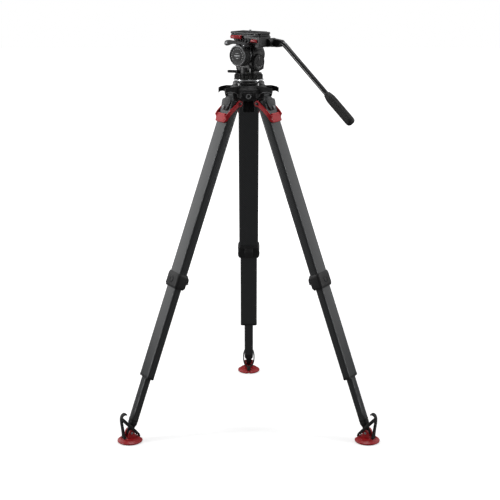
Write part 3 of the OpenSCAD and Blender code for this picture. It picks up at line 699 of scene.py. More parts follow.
# %% [markdown]
# ## Red brake levers
# One lever per leg locks both stages at once. It is a strap of metal bent into a U: two arms pivot on the
# casting, and a broad bar crosses the front of the tube, with a shallow scoop for the thumb. The strap's
# middle line is a smooth curve through a few points. Its width direction turns from the arm's plane to
# upright as it rounds each corner, and its width and thickness change along the way.

# %% Brake levers
def strap(path, wide, width, thick, scoop, steps=5):
    """A flat bar along a path: wide is the width direction at each row; scoop hollows its outer face."""
    ahead = np.gradient(path, axis=0)
    ahead /= np.linalg.norm(ahead, axis=1)[:, None]
    wide = wide - (wide * ahead).sum(1)[:, None] * ahead
    wide /= np.linalg.norm(wide, axis=1)[:, None]
    normal = np.cross(ahead, wide)
    base = rectangle(2.0, 2.0, 0.5, steps)
    a, b = base[:, 0][None, :], base[:, 1][None, :]
    across = a * width[:, None] / 2
    high = b * thick[:, None] / 2 - scoop[:, None] * np.clip(b, 0, 1) * (1 - a ** 2)
    return shell(path[:, None] + across[..., None] * wide[:, None] + high[..., None] * normal[:, None])


def brake_lever():
    """The bent strap and a round eye at each pivot."""
    half = [(-7, 34.2, -22), (-2, 34.2, -30), (4, 34.2, -40), (10, 34.2, -51), (15, 33.6, -62),
            (18, 30.6, -70),
            (18.6, 24, -73.6), (18.8, 12, -74.4)]
    path = flowing([*half, (18.8, 0, -74.6), *[(x, -y, z) for x, y, z in half[::-1]]], 8)
    side = np.clip((np.abs(path[:, 1]) - 22) / 11, 0, 1)
    side = side * side * (3 - 2 * side)
    arm_wide = np.array([0.87, 0.0, 0.5])
    wide = side[:, None] * arm_wide + (1 - side)[:, None] * UP
    width = 27 - 15 * side + 2.5 * np.clip((path[:, 2] + 32) / 10, 0, 1)
    body = strap(path, wide, width, 5.6 - 0.6 * side, 1.5 * (1 - side))
    eyes = [moved(lathe([(8.4, y - 2.5), (8.9, y - 1.9), (8.9, y + 1.9), (8.4, y + 2.5)], "y", 40),
                  (head_pivot[0], 0, head_pivot[1])) for y in (-34.2, 34.2)]
    caps = [moved(lathe([(4.6, s * 36.4), (4.6, s * 37.6), (3.6, s * 38.2)], "y", 28),
                  (head_pivot[0], 0, head_pivot[1])) for s in (-1, 1)]
    return [body, *eyes, *[(c, 1) for c in caps]]


for i in LEGS:
    piece(f"red_lever_{i}", brake_lever(), leg_place[i], f"brake_{i}", [red_lever, casting], "red_anodised",
          f"brake_lever_{i}")

# %% [markdown]
# ## Feet
# The lower tube ends in a moulded tip with a tongue. A red rubber foot hinges on it between two ears, so it
# can lie flat on a sloping floor. The dome is a profile turned about its axis, with a small notch in its
# rim: the radius drops in a narrow bell curve on the inner side.
#
# A black rubber strap holds the foot to the leg. It is a slanted ring round the tube with a stem outside,
# which curls over at the top into a finger hook. Both are sections carried along curves, so they look
# moulded and not cut.

# %% Feet and straps
pad_r = 37.5
foot_pivot_h = joint["leg_1_foot_tilt"]["pos_m"][2] / MM


def foot_tip():
    """The plug in the tube, a collar with a groove, and the tongue that takes the hinge pin."""
    skirt = ladder([(-1008, 19.2, 28.4, 4.8, 0), (-1010, 20.6, 29.8, 5.4, 0), (-1014, 20.6, 29.8, 5.4, 0),
                    (-1015, 19.4, 28.4, 5, 0), (-1016.5, 19.4, 28.4, 5, 0), (-1017.5, 20.2, 29.2, 5.2, 0),
                    (-1024, 19.6, 28.6, 5, 0), (-1031, 18, 21, 5, 0), (-1040, 18, 14, 4.5, 0),
                    (-1052, 17.4, 13.6, 4.5, 0), (-1058, 13, 13, 4.5, 0), (-1060, 8, 12, 3.6, 0)])
    return [skirt]


def foot_pad():
    """Dome with a notched rim, a rib round its top, two ears and the hinge pin."""
    dome = rounded([(0.5, 0.4), (pad_r - 3, 0.0), (pad_r, 2.0), (pad_r, 5.4), (pad_r - 4.5, 8.2), (24, 12.4),
                    (13, 15.2), (4, 16)], (0.2, 1, 1, 1.2, 2.5, 6, 5, 1), closed=False)

    def notch(angle, h):
        return -5.5 * np.exp(-(((angle - math.pi) / 0.13) ** 2)) * (h < 8.6)
    body = lathe(dome, steps=120, ripple=notch)
    groove = lathe([(25.5, 11.6), (27.6, 11.2), (27.2, 12.6), (25.9, 12.9)], steps=96, loop=True)
    ear = rounded([(-15, 9), (15, 9), (11, 24), (8.6, 33), (4, 39), (-4, 39), (-8.6, 33), (-11, 24)],
                  (1, 1, 5, 4, 3, 3, 4, 5))
    ears = [slab(ear, *sorted((s * 7.8, s * 15.2)), 1.3, "y") for s in (-1, 1)]
    pin = moved(lathe([(2.4, -16.2), (3.8, -15.8), (3.8, -15.0), (3, -15.0), (3, 15.0), (3.8, 15.0),
                       (3.8, 15.8),
                       (2.4, 16.2)], "y", 28), (0, 0, foot_pivot_h))
    return [body, groove, *ears, (pin, 1)]


def foot_strap():
    """The slanted ring, the outer stem with its curl, the finger ribs and the inner root."""
    turn = np.arange(72) * 2 * math.pi / 72
    slant = math.radians(48.7)
    u, w = 36.2 * np.cos(turn), 18.4 * np.sin(turn) * (1 + 0.12 * np.cos(turn) ** 2)
    centre = np.stack([1.5 + u * math.cos(slant), w, 49 + u * math.sin(slant)], -1)
    outward_dir = np.stack([np.cos(turn) * math.cos(slant), 1.9 * np.sin(turn),
                            np.cos(turn) * math.sin(slant)], -1)
    outward_dir /= np.linalg.norm(outward_dir, axis=1)[:, None]
    upward = np.array([-math.sin(slant), 0.0, math.cos(slant)])
    section = rectangle(3.9, 9.0, 1.7, 4)
    ring = shell(centre[:, None] + section[None, :, :1] * outward_dir[:, None] + section[None, :,
                                                                                         1:] * upward,
                 loop=True)
    stem_path = flowing([(18.5, 0, 9), (21, 0, 26), (23.6, 0, 46), (26, 0, 64), (26.4, 0, 77), (22.6, 0, 86),
                         (15.4, 0, 89), (9.6, 0, 86)], 8)
    swell = np.interp(np.linspace(0, 1, len(stem_path)), [0, 0.15, 0.6, 0.85, 1], [1.5, 1.1, 0.9, 1.0, 0.72])
    stem = sweep(stem_path, rectangle(15.0, 5.6, 2.2, 5), np.array([1.0, 0.0, 0.02]), swell)
    ribs = [sweep(flowing([(28.8, y, z) for y in (-5, 0, 5)], 3), circle(0.8, 10), UP) for z in (60, 64, 68,
                                                                                                 72)]
    root_path = flowing([(-30, 0, 11), (-28, 0, 18), (-23.4, 0, 24)], 6)
    root = sweep(root_path, rectangle(12.0, 5.0, 2.0, 5), np.array([1.0, 0.0, 0.02]))
    return [ring, stem, *ribs, root]


for i in LEGS:
    piece(f"tip_{i}", foot_tip(), leg_place[i], f"lower_{i}", moulded, "satin_black", f"foot_tip_{i}")
    piece(f"red_foot_{i}", foot_pad(), foot_place[i], f"foot_{i}", [red_rubber, steel], "red_rubber",
          f"foot_pad_{i}")
    piece(f"rubber_strap_{i}", foot_strap(), foot_place[i], f"foot_{i}", rubber, "black_rubber",
          f"foot_strap_{i}")

# %% [markdown]
# ## The crown
# The crown is one casting on the real tripod: a bowl for the levelling ball, a skirt, three hoods that cover
# the hinges, and a block between each pair of legs. The round parts are profiles turned about the axis. The
# bowl's inside is part of a sphere, so its profile is an arc worked out from an angle. Three small ribs on
# the sloping deck are a cosine wave added to its height.

# %% Bowl, flange and skirt
bowl_h = 1053.5
deck_h = 1034.0
socket_h = 1016


def arc(radius, start, end, centre_h, steps=12):
    """(radius, height) points on a circle about the axis, between two angles from straight down."""
    a = np.radians(np.linspace(start, end, steps))
    return np.stack([radius * np.sin(a), centre_h - radius * np.cos(a)], -1)


inside = arc(37.5, 90, 32.3, bowl_h, 18)
outside = arc(43.0, 27.8, 73, bowl_h, 14)
bowl = lathe(np.concatenate([[(44, bowl_h - 9)], inside, outside]), steps=120, loop=True)
flange = rounded([(37.6, bowl_h - 10.4), (45.2, bowl_h - 10.4), (46.9, bowl_h - 8.8), (46.9, bowl_h - 1.2),
                  (45.6, bowl_h), (37.6, bowl_h)], (0.2, 0.6, 0.8, 0.7, 0.7, 0.2), 4)
slope = np.linspace(0, 1, 40)
ribs_wave = 0.55 * (1 - np.cos(slope * 2 * math.pi * 5)) / 2
deck = np.stack([46 + 14 * slope, bowl_h - 8 - (bowl_h - 8 - deck_h) * slope + ribs_wave], -1)
skirt = np.concatenate([[(42, 1036)], deck, rounded([(60, deck_h), (60, 1010), (58.4, 1008), (54, 1008),
                                                     (54, deck_h - 5)], (1, 1, 1, 1, 2), 4)])
piece("crown_bowl", [bowl, lathe(skirt, steps=120, loop=True)], crown_place[1], "root", casting,
      "satin_black",
      "crown")
piece("crown_flange", [lathe(flange, steps=120, loop=True)], crown_place[1], "root", black_enamel_and_pocket_shade,
      "satin_black")

# %% [markdown]
# ## Hoods, cheeks and blocks
# On the real tripod a hood is a thick leaf that reaches out over the leg and droops at its tip. Here only
# its sides are made, and its roof is still missing. On each side a thin wall ends in an arch. Along the arch
# runs a painted highlight: a thin round light grey strip carried along the same curve as the wall's edge, in
# place of the light that the rounded edge catches. Inside the wall a round cheek holds the hinge pin.
#
# Between the legs stands a rounded block. It has a raised frame, a thin dark gloss plate of painted shade on
# each side where a pocket is sunk, and a light ring round the threaded socket for accessories.

# %% Hoods and socket blocks
def hood_half(x):
    """Half the hood's width at a distance from the axis: straight, then drawn in towards the tip."""
    return 22.0 + 7.0 * (1 - np.clip((x - 62) / 28, 0, 1) ** 1.4)


def hood():
    """Two arched walls with a painted highlight strip along each arch, a hinge cheek inside each, and a rib
    between them.
    """
    edge = flowing([(89.6, 1024.6), (86.5, 1026.4), (81, 1028.0), (73, 1028.4), (63, 1026), (54, 1021),
                    (47, 1016.5), (43.5, 1008)], 8)
    wall_top = np.array([(40, 1008), (40, 1042), (60, 1043.6), (80, 1042), (89.8, 1038.6)])
    outline = np.concatenate([edge, wall_top])
    parts = []
    for s in (-1, 1):
        lean = hood_half(outline[:, 0])
        grid = np.stack([np.stack([outline[:, 0], s * (lean - back), outline[:, 1]], -1) for back in (2.6,
                                                                                                      0.0)])
        parts.append((shell(grid), 0))
        # A light grey strip along the arch: painted highlight for the light that the rounded edge catches.
        highlight_bead_y = s * (hood_half(edge[:, 0]) + 0.15)
        highlight_bead = np.stack([edge[:, 0], highlight_bead_y, edge[:, 1]], -1)
        parts.append((sweep(highlight_bead, circle(1.05, 10), UP + (0.0, 0.3, 0.0)), 1))
        cheek = rounded([(40, 1040), (66, 1040), (68, 1026), (64.5, 1011), (58, 1004), (43, 1004),
                         (37, 1012),
                         (37, 1022)], (2, 3, 6, 7, 8, 8, 6, 4), 7)
        parts.append((slab(cheek, *sorted((s * 20.2, s * 26.6)), 1.2, "y"), 0))
    parts.append((slab(rounded([(60, 1038.2), (84, 1036.2), (82, 1033.6), (60, 1034.2)], 0.8), -1.5, 1.5,
                       0.5,
                       "y"), 0))
    return parts


def socket_block():
    """The block, its frame, a thin dark gloss plate of painted shade on each side where a pocket is sunk,
    and the light ring of the threaded socket.
    """
    where = socket_h + 1.7
    block = moved(slab(rectangle(48, 24.6, 6), 50, 61, 1.6, "x", 5), (0, 0, where))
    frame_outer, frame_inner = rectangle(42, 19, 5), rectangle(38.6, 15.6, 3.6)
    ridge = moved(pipe(frame_outer, frame_inner, 60.6, 61.8, 0.35, "x"), (0, 0, where))
    # Thin dark gloss plates proud of the face stand in for the sunk pocket on each side: their dark is
    # painted shade.
    pocket_shade_plates = [moved(slab(rectangle(8, 11, 1.5), 60.4, 61.3, 0.4, "x"), (0, y, where)) for y in (-13.4,
                                                                                                 13.4)]
    ring = moved(lathe([(4.9, 52), (7.6, 52), (7.9, 61.6), (7.2, 62.0), (5.6, 62.0), (4.8, 61.2)], "x", 48,
                       loop=True), (0, 0, socket_h))
    return [block, ridge, *[(p, 1) for p in pocket_shade_plates], (ring, 2)]


for i in LEGS:
    piece(f"crown_hood_{i}", hood(), crown_place[i], "root", [casting, pale_grey_trim_and_painted_highlight], "satin_black", "crown")
    piece(f"crown_block_{i}", socket_block(), socket_place[i], "root", [casting, black_enamel_and_pocket_shade, pale_grey_trim_and_painted_highlight],
          "grey_steel", "accessory_sockets")
    ends = [moved(turned(bolt(4.6, 2.6), -90 * s, "x"), (50, s * 26.4, hinge_h)) for s in (-1, 1)]
    rod = moved(lathe([(4.9, -27), (4.9, 27)], "y", 32), (50, 0, hinge_h))
    piece(f"hinge_pin_{i}", [rod, *ends], crown_place[i], "root", steel, "grey_steel", "leg_hinge_pins")

# %% [markdown]
# ## Levelling ball and clamp
# Half a ball sits in the bowl, and a knob underneath pulls it down through a cup. A polished ring marks the
# joint between the ball and the head. The knob is a lathe shape whose radius swells six times round, which
# gives the lobes a hand can grip.

# %% Ball collar, cup and knob
ball_profile = np.concatenate([arc(37.0, 24, 88, bowl_h, 20),
                               [(36, bowl_h + 1), (36, 1057.6), (38.4, 1057.8),
                               (38.4, 1062.8), (33, 1063.0), (33, 1075.8), (12, 1076), (12, 1092.6)]])
piece("half_ball_dome", [lathe(ball_profile, steps=96)], head_place, "ball", casting, "satin_black",
      "half_ball")
collar_profile = rounded([(38.5, 1057.5), (43.4, 1057.5), (44.2, 1058.5), (44.2, 1061.5), (43.2, 1062.5),
                          (38.5, 1062.5)], (0.2, 0.5, 0.5, 0.5, 0.5, 0.2), 4)
piece("silver_collar", [lathe(collar_profile, steps=128, loop=True)], head_place, "ball", silver,
      "silver_ring",
      "ball_collar")


def lobes(count, amount, low, high):
    """A ripple for lathe: the radius swells count times round, between two heights."""
    return lambda angle, h: amount * (np.cos(angle * count) - 1) / 2 * ((h > low) & (h < high))


knob_profile = rounded([(9, 963), (17.5, 963), (19.4, 966), (19.2, 990), (16.5, 996), (19.8, 1000),
                        (20, 1003.4), (11, 1004.2)], (0.5, 2, 2, 5, 3, 1.5, 1, 0.5), 6, closed=False)
piece("tie_down_knob", [lathe(knob_profile, steps=120, ripple=lobes(6, 4.6, 962, 997)),
                        lathe([(8, 962.4), (8.6, 963.4), (8.6, 964.4), (7, 964.4)], steps=32)],
      crown_place[1], "clamp", moulded, "black_plastic", "clamp_knob")

# %% [markdown]
# ## Pan stage
# The pan drag ring has grip teeth all round. The housing above it is a rounded box that flows into a
# drum across the head, where the tilt axis lies. A thin light line shows where the drum's flange meets it.
# A white mark in front of the drag ring shows the setting, and the rear boss carries the balance dial.

# %% Drag ring and housing
def teeth(count, depth, low, high, sharp=3.0):
    """A ripple of grip teeth: a cosine pressed towards a square wave, between two heights."""
    return lambda angle, h: (depth * (np.tanh(sharp * np.cos(angle * count)) - 1) / 2
                             * ((h > low) & (h < high)))


ring_profile = rounded([(33.4, 1063.4), (41.2, 1063.4), (42.2, 1064.4), (42.5, 1067.2), (42.5, 1073.2),
                        (41.4, 1074.8), (33.4, 1074.8)], (0.2, 0.6, 1, 0.6, 0.8, 0.6, 0.2), 4)
ring_rows = lathe(ring_profile, steps=288, loop=True, ripple=teeth(24, 2.4, 1065.6, 1075.2))
piece("drag_ring", [ring_rows], head_place, "pan_drag", rubber, "black_rubber", "pan_drag_ring")


def housing_block():
    """Rounded-square sections that start as the round neck and grow into the box under the drum."""
    rungs = [(1083, 60, 60, 29, -0.5, 0), (1086.5, 63, 63, 22, -0.5, 4), (1090, 65.6, 65.6, 14, -0.5, 7),
             (1097, 66, 66, 12, -0.5, 7), (1118, 66, 66, 12, -0.5, 7), (1127, 63, 64, 12, -0.5, 7),
             (1131.5, 57, 60, 12, -0.5, 7)]
    rings = np.stack([rectangle(d, w, r, 9) + (x, y) for _, d, w, r, x, y in rungs])
    heights = np.array([rung[0] for rung in rungs], float)
    return shell(facing(rings[..., 0], rings[..., 1], heights[:, None], "z"))


def drum(low, high, radius, edge=1.4):
    """A short round body along the tilt axis with rounded rims."""
    profile = [(radius - edge - 3, low), (radius - edge, low), (radius, low + edge), (radius, high - edge),
               (radius - edge, high), (radius - edge - 3, high)]
    return moved(lathe(rounded(profile, (0.2, edge, edge, edge, edge, 0.2), 5, closed=False), "y", 96),
                 (0, 0, tilt_h))


base = lathe(rounded([(20, 1076.4), (38.6, 1076.4), (39.5, 1077.2), (39.5, 1078.6), (38.6, 1079.3),
                      (31.6, 1079.4), (31, 1080), (31, 1096)], (0.2, 0.6, 0.5, 0.5, 0.5, 1, 0.8, 0.2), 4,
                     closed=False), steps=120)
cheek_left, cheek_right = drum(-26, -19.3, 31), drum(19.3, 42, 30.6, 2.4)
flange_line = moved(lathe(rounded([(28, -29.9), (30.8, -29.9), (31.5, -29.2), (31.5, -27), (30.8, -26),
                                   (28, -26)], 0.5, 4), "y", 96, loop=True), (0, 0, tilt_h))
rear_boss = moved(lathe(rounded([(22, 20), (26, 20), (26, 32.6), (24.6, 34.2), (20, 34.2)],
                                (0.2, 0.2, 1.4, 1.4, 0.2), 5, closed=False), "x", 96), (0, 0, tilt_h - 20))
shoulder = slab(rounded([(-24, 1118), (24, 1118), (27, 1136), (20, 1150), (-8, 1152), (-22, 1142)],
                        (4, 4, 8, 8, 8, 8)), 26.4, 40, 2.0, "y")
web = slab(rounded([(6, tilt_h + 24), (20, tilt_h + 36), (28, tilt_h + 37.5), (32, tilt_h + 31),
                    (27, tilt_h + 8)], (2, 3, 4, 4, 2)), -29.6, -27.2, 0.6, "y")
screws = [(moved(turned(bolt(2.4, 1.6), -90, "x"), (24 * math.cos(a), 41.8, tilt_h + 24 * math.sin(a))), 1)
          for a in np.radians([35, 125, 215, 305])]
hub_cap = moved(lathe([(9, 41.6), (10, 42.2), (10, 42.8), (8.6, 43.4), (3, 43.4), (2.2, 42.6)], "y", 40),
                (0, 0, tilt_h))
piece("head_housing", [base, housing_block(), cheek_left, cheek_right, rear_boss, shoulder, web, *screws,
                       hub_cap], head_place, "pan", [casting, steel], "satin_black", "pan_housing")
piece("housing_flange_line", [flange_line], head_place, "pan", dial_grey, "satin_black")

# %% [markdown]
# ## Levers and level on the housing
# Two brakes hold the head still. The pan brake is a short lever low on the base, and the tilt brake is a
# long paddle that reaches over the drag dial. A small round level with green fluid sits beside the pan
# brake. A lever is a flat outline with rounded corners, raised to a thickness with soft edges.

# %% Brakes and level
brake_at = (25.0, tilt_h + 30.5)
level_at = (20, -33, 0)


def lever(points, radii, low, high, edge, along):
    """A lever's outline, with each corner rounded by its own radius, as a slab with soft edges."""
    return slab(rounded(points, radii, 6), low, high, edge, along, 4)


paddle = [(25, brake_at[1] + 7), (2, tilt_h + 41), (-38, tilt_h + 44), (-51, tilt_h + 41),
          (-53, tilt_h + 30),
          (-44, tilt_h + 26), (-24, tilt_h + 33.6), (14, tilt_h + 31.6), (22, brake_at[1] - 5)]
hub = moved(lathe(rounded([(2.2, -57), (6, -57), (7, -56), (7, -31.4), (6, -30.4), (2.2, -30.4)], 0.5, 4),
                  "y",
                  48, loop=True), (brake_at[0], 0, brake_at[1]))
hub_screw = moved(lathe([(2.6, -50), (2.6, -56.4), (1.6, -56.6), (1.5, -55.6)], "y", 24),
                  (brake_at[0], 0, brake_at[1]))
piece("tilt_brake", [lever(paddle, (4, 8, 6, 6, 6, 6, 10, 3, 3), -50, -41, 2.2, "y"), hub, (hub_screw, 1),
                     (lever([(-50, tilt_h + 39), (-50, tilt_h + 31), (-38, tilt_h + 32.4),
                             (-38, tilt_h + 39)],
                            1.6, -50.7, -49.6, 0.3, "y"), 2)],
      head_place, "tilt_brake", [moulded, steel, dial_grey], "black_plastic", "tilt_brake_lever")

pan_at = np.array([-15.5, -33.5])
pan_arm = pan_at + np.array([(-1, 5), (-24, -2), (-29, -6), (-29, -12), (-24, -14), (-14, -11), (1, -5)])
pan_hub = moved(lathe([(5, 1079.7), (5.5, 1080.3), (5.5, 1087.8), (4.6, 1088.7), (2, 1088.7), (1.8, 1087.6)],
                      steps=40), (*pan_at, 0))
piece("pan_brake_arm", [lever(pan_arm, (3, 4, 3, 3, 3, 5, 3), 1080.4, 1088.2, 1.8, "z"), pan_hub],
      head_place,
      "pan_brake", moulded, "black_plastic", "pan_brake_lever")

level_cup = moved(lathe(rounded([(4.0, 1079.3), (5.5, 1079.3), (5.5, 1083.6), (4.9, 1084.3), (4.0, 1084.1)],
                                0.3, 4), steps=48, loop=True), level_at)
level_dome = moved(lathe([(4.1, 1080), (4.1, 1083.4), (3.4, 1083.9), (1.8, 1084.2)], steps=48), level_at)
piece("level_cup", [level_cup, (level_dome, 1)], head_place, "pan", [moulded, level_glass], "level_glass",
      "bubble_level")

# %% [markdown]
# ## Dials
# The drag dial is the part that a viewer sees first. It has a rubber grip with fine teeth, a bright bevel, a
# sunk face and a raised centre bar with a scale of ticks. The rear dial sets the counterbalance, and has an
# arc, a white pointer and a dot. Ticks are thin slabs turned round the dial's axis.

# %% Drag dial
def dial_ticks(count, start, sweep_angle, radius, size, low, high, along, centre):
    """Thin slabs round a dial, evenly spaced over an arc of the face."""
    marks = []
    for a in np.linspace(start, start + sweep_angle, count):
        mark = slab(rectangle(*size, 0.25) + (radius, 0), low, high, 0.12, along)
        marks.append(moved(turned(mark, float(a), along), centre))
    return marks


drag_centre = (0, 0, tilt_h)
drag_body = lathe(rounded([(8, -30.6), (29.4, -30.6), (29.4, -52.6), (27.2, -55), (24.9, -55), (24.7, -53.6),
                           (15.4, -53.6), (14.6, -54.2), (6, -54.2)],
                          (0.2, 0.8, 0.4, 0.5, 0.4, 0.2, 0.2, 0.4, 0.2), 4, closed=False), "y", 120)
grip_ring = lathe(rounded([(28, -50.8), (30.8, -50.8), (30.8, -31.4), (28, -31.4)], (0.2, 0.9, 0.9, 0.2), 4),
                  "y", 360, loop=True, ripple=teeth(60, 0.9, -50.2, -32))
bevel = lathe([(29.2, -52.2), (29.9, -52.2), (29.9, -52.9), (27.5, -55.1), (26.9, -55.1), (26.9, -54.6)],
              "y", 120,
              loop=True)
piece("drag_dial", [moved(drag_body, drag_centre)], head_place, "tilt_drag", moulded, "black_plastic",
      "tilt_drag_dial")
piece("drag_dial_grip", [moved(grip_ring, drag_centre)], head_place, "tilt_drag", rubber, "black_rubber")
bar_mark = moved(slab(rectangle(20, 3.2, 1.2), -55.0, -54.0, 0.3, "y"), drag_centre)
cross_marks = [moved(slab(rectangle(11, 1.6, 0.6), -54.7, -54.0, 0.2, "y"), (0, 0, tilt_h + z)) for z in (-7,
                                                                                                          7)]
scale = dial_ticks(13, 150, 240, 20.4, (4.2, 1.3), -54.1, -53.5, "y", drag_centre)
piece("drag_dial_marks", [moved(bevel, drag_centre), bar_mark, *cross_marks, *scale], head_place,
      "tilt_drag",
      pale_grey_trim_and_painted_highlight, "silver_ring")

# %% Counterbalance dial
balance_centre = (0, 0, tilt_h - 20)
balance_body = lathe(rounded([(6, 34.8), (24, 34.8), (25, 36), (25, 39.6), (23.6, 41), (21.2, 41),
                              (21, 39.8),
                              (10.4, 39.8), (9.8, 40.6), (4, 40.6)],
                             (0.2, 0.6, 0.6, 0.8, 0.4, 0.2, 0.2, 0.3, 0.3, 0.2), 4, closed=False), "x", 240,
                     ripple=lambda angle, h: 0.5 * (np.cos(angle * 40) - 1) * ((h > 35.4) & (h < 39.7)))
piece("balance_wheel", [moved(balance_body, balance_centre)], head_place, "balance", moulded,
      "black_plastic",
      "balance_dial")
pointer = moved(slab(rectangle(1.9, 9.5, 0.7) + (0, 14.4), 39.4, 40.3, 0.2, "x"), balance_centre)
dot = moved(slab(circle(1.5, 20, (0, -13.5)), 39.4, 40.2, 0.2, "x"), balance_centre)
arc_marks = dial_ticks(9, 200, 140, 16.5, (3.0, 0.9), 39.4, 40.1, "x", balance_centre)
piece("balance_marks", [pointer, dot, *arc_marks], head_place, "balance", paint_white, "silver_ring")
stripe_mark = turned(moved(slab(rectangle(7, 2.6, 0.6), 1081, 1095, 0.4), (34.5, 0, 0)), -45, "z", (0, 0, 0))
piece("index_stripe", [stripe_mark], head_place, "pan", paint_white, "silver_ring")

# %% [markdown]
# ## Tilting platform
# The platform's drum turns between the housing's cheeks. Above it is a block that spreads into a flat bed
# with two rails, between which the camera plate slides. At the front a toothed rosette on the far side takes
# the pan bar. The red lock lever and the red release button are on the near side.

# %% Platform
def outline_xz(points, lift, radius):
    """An outline whose heights are counted from the tilt axis, with rounded corners."""
    pts = np.array(points, float) + (0, lift)
    return rounded(pts, radius, 5)


drum_body = moved(lathe(rounded([(28, -18.6), (33.4, -18.6), (33.4, 18.6), (28, 18.6)], (0.2, 1.2, 1.2, 0.2),
                                5,
                                closed=False), "y", 120), (0, 0, tilt_h))
block = slab(outline_xz([(-27, 18), (-40, 42), (-46, 49.5), (58, 49.5), (60, 26), (46, 26), (36, 30),
                         (24, 24)],
                        tilt_h, (1, 6, 2, 1, 3, 4, 6, 3)), -18.4, 18.4, 1.0, "y", 4)
bed = slab(outline_xz([(-48, 50), (-46, 48.2), (34, 48.2), (36, 33), (44, 24.4), (60, 24.4), (61, 30),
                       (61, 54.8),
                       (-48, 54.8)], tilt_h, (1, 1, 4, 4, 4, 3, 2, 1.6, 1.6)), -26.9, 26.9, 1.1, "y", 4)
rails = [slab(outline_xz([(-45, 53.4), (58, 53.4), (58, 58.6), (56.6, 59.9), (-43, 59.9), (-45, 58)], tilt_h,
                         (0.3, 0.3, 0.6, 0.6, 0.8, 0.6)), *sorted((s * 22.8, s * 26.9)), 0.6, "y", 3)
         for s in (-1, 1)]
side_ribs = [slab(outline_xz([(x - 1.2, 30), (x + 1.2, 30), (x + 1.2, 47), (x - 1.2, 47)], tilt_h, 0.6),
                  *sorted((s * 17.8, s * 20)), 0.5, "y") for x in (-24, -14, -4, 6, 16) for s in (-1, 1)]


rosette_at = (61, 0, tilt_h + 36)


def rosette(side):
    """A ring of radial teeth: the end face rises and falls with the angle round the ring."""
    a = np.linspace(0, 2 * math.pi, 240, endpoint=False)[None, :]
    r = np.array([4.0, 11.6, 12.0, 12.0])[:, None]
    y = np.array([29.2, 29.2, 28.6, 10.0])[:, None] + 0.7 * np.cos(a * 30) * np.array([1, 1, 0, 0])[:, None]
    return shell(np.stack(np.broadcast_arrays(rosette_at[0] + r * np.cos(a), side * y,
                                              rosette_at[2] + r * np.sin(a)), -1))


bed_screws = [(moved(bolt(2.2, 1.2), (x, s * 24.8, tilt_h + 59.6)), 1) for x in (-30, 44) for s in (-1, 1)]
piece("platform_body", [drum_body, block, bed, *rails, *side_ribs, rosette(1), *bed_screws],
      head_place, "tilt", [casting, steel], "satin_black", "tilt_platform")

lock_arm = rounded([(-2, -29.2), (-5, -27.9), (-24, -29.5), (-38, -31), (-39.5, -35), (-37, -39.4),
                    (-24, -39.8),
                    (-5, -35.8), (-2, -34.4)], (1, 2, 5, 4, 2, 3, 5, 3, 3), 6)
lock_hub = moved(lathe([(3.4, tilt_h + 47), (4, tilt_h + 47.6), (4, tilt_h + 56.4), (3.2, tilt_h + 57),
                        (1.6, tilt_h + 57)], steps=40), (-5, -31.7, 0))
piece("plate_lock", [slab(lock_arm, tilt_h + 47.4, tilt_h + 56.6, 2.0, "z", 5), lock_hub], head_place,
      "plate_lock", red_lever, "red_anodised", "plate_lock_lever")
button = slab(outline_xz([(30.2, 38.8), (53.8, 38.8), (51.8, 46.9), (32.2, 46.9)], tilt_h, 1.8), -32, -24,
              1.6,
              "y", 5)
piece("release_key", [button], head_place, "release", red_lever, "red_anodised",
      "release_button")

# %% [markdown]
# ## Camera plate
# The plate has a stepped edge, a long slot for the screw and two ribbed rubber pads. Its screw has a real
# thread: the radius rises and falls with the height and the angle together, which is what a helix is.

# %% Plate, pads and screw
plate_z = tilt_h + 55.3
mid_x = 6.5


def slotted(width, depth, radius, low, high, edge):
    """A rounded plate with a long slot through it."""
    part = pipe(rectangle(width, depth, radius, 10), rectangle(70, 7, 3.4, 10), low, high, edge, "z")
    return moved(part, (mid_x, 0, plate_z))


def pad_ribs(x, y):
    """Height of a pad: narrow ribs across it that stop before its edge."""
    inside_pad = (np.abs(x) < 42) & (np.abs(y) < 7)
    return 0.35 * (np.cos(x * 2 * math.pi / 3.2) - 1) / 2 * inside_pad


def pad(centre_y):
    """A rubber pad: a sheet of ribs on top, and a skirt round it down to the plate."""
    u = np.linspace(-44.5, 44.5, 220)
    v = np.linspace(-8.5, 8.5, 20)
    x, y = np.meshgrid(u, v)
    fade = np.minimum(np.clip((44.5 - np.abs(x)) / 0.8, 0, 1), np.clip((8.5 - np.abs(y)) / 0.8, 0, 1))
    top = np.stack([x, y, 0.7 + 0.5 * fade + pad_ribs(x, y)], -1)
    bottom = np.stack([x, y, np.full_like(x, -0.2)], -1)
    ring = np.concatenate([top[:1], top, top[-1:]])
    ring[0, :, 2], ring[-1, :, 2] = -0.2, -0.2
    sheet = np.concatenate([ring, bottom[::-1]])
    return moved(shell(np.moveaxis(sheet, 0, 1)), (mid_x, centre_y, plate_z + 11.5))


def thread_ripple(angle, h):
    """Depth of the thread: a triangle wave of the height minus the turn."""
    turn = (h - plate_z) / 1.27 - angle / (2 * math.pi)
    return -0.9 * np.abs((turn % 1) - 0.5) * ((h > plate_z + 12.6) & (h < plate_z + 17.4))


piece("sliding_plate", [slotted(107, 44.2, 4, 0.1, 5.5, 0.8), slotted(113, 54, 8, 5.3, 11.5, 1.6)],
      head_place,
      "plate", casting, "satin_black", "camera_plate")
piece("plate_pads", [pad(-15.0), pad(15.0)], head_place, "plate", rubber, "black_rubber", "plate_pad")
screw_rows = [(3.175, h) for h in np.linspace(plate_z + 12.5, plate_z + 17.3, 60)]
screw_profile = [(3.0, plate_z + 0.4), (5.6, plate_z + 0.4), (6, plate_z + 0.8), (6, plate_z + 3.0),
                 (2.6, plate_z + 3.2),
                 (2.6, plate_z + 12.4), *screw_rows, (2.4, plate_z + 17.8)]
piece("mount_screw", [moved(lathe(screw_profile, steps=64, ripple=thread_ripple), (mid_x, 0, 0))],
      head_place,
      "screw", steel, "grey_steel", "camera_screw")

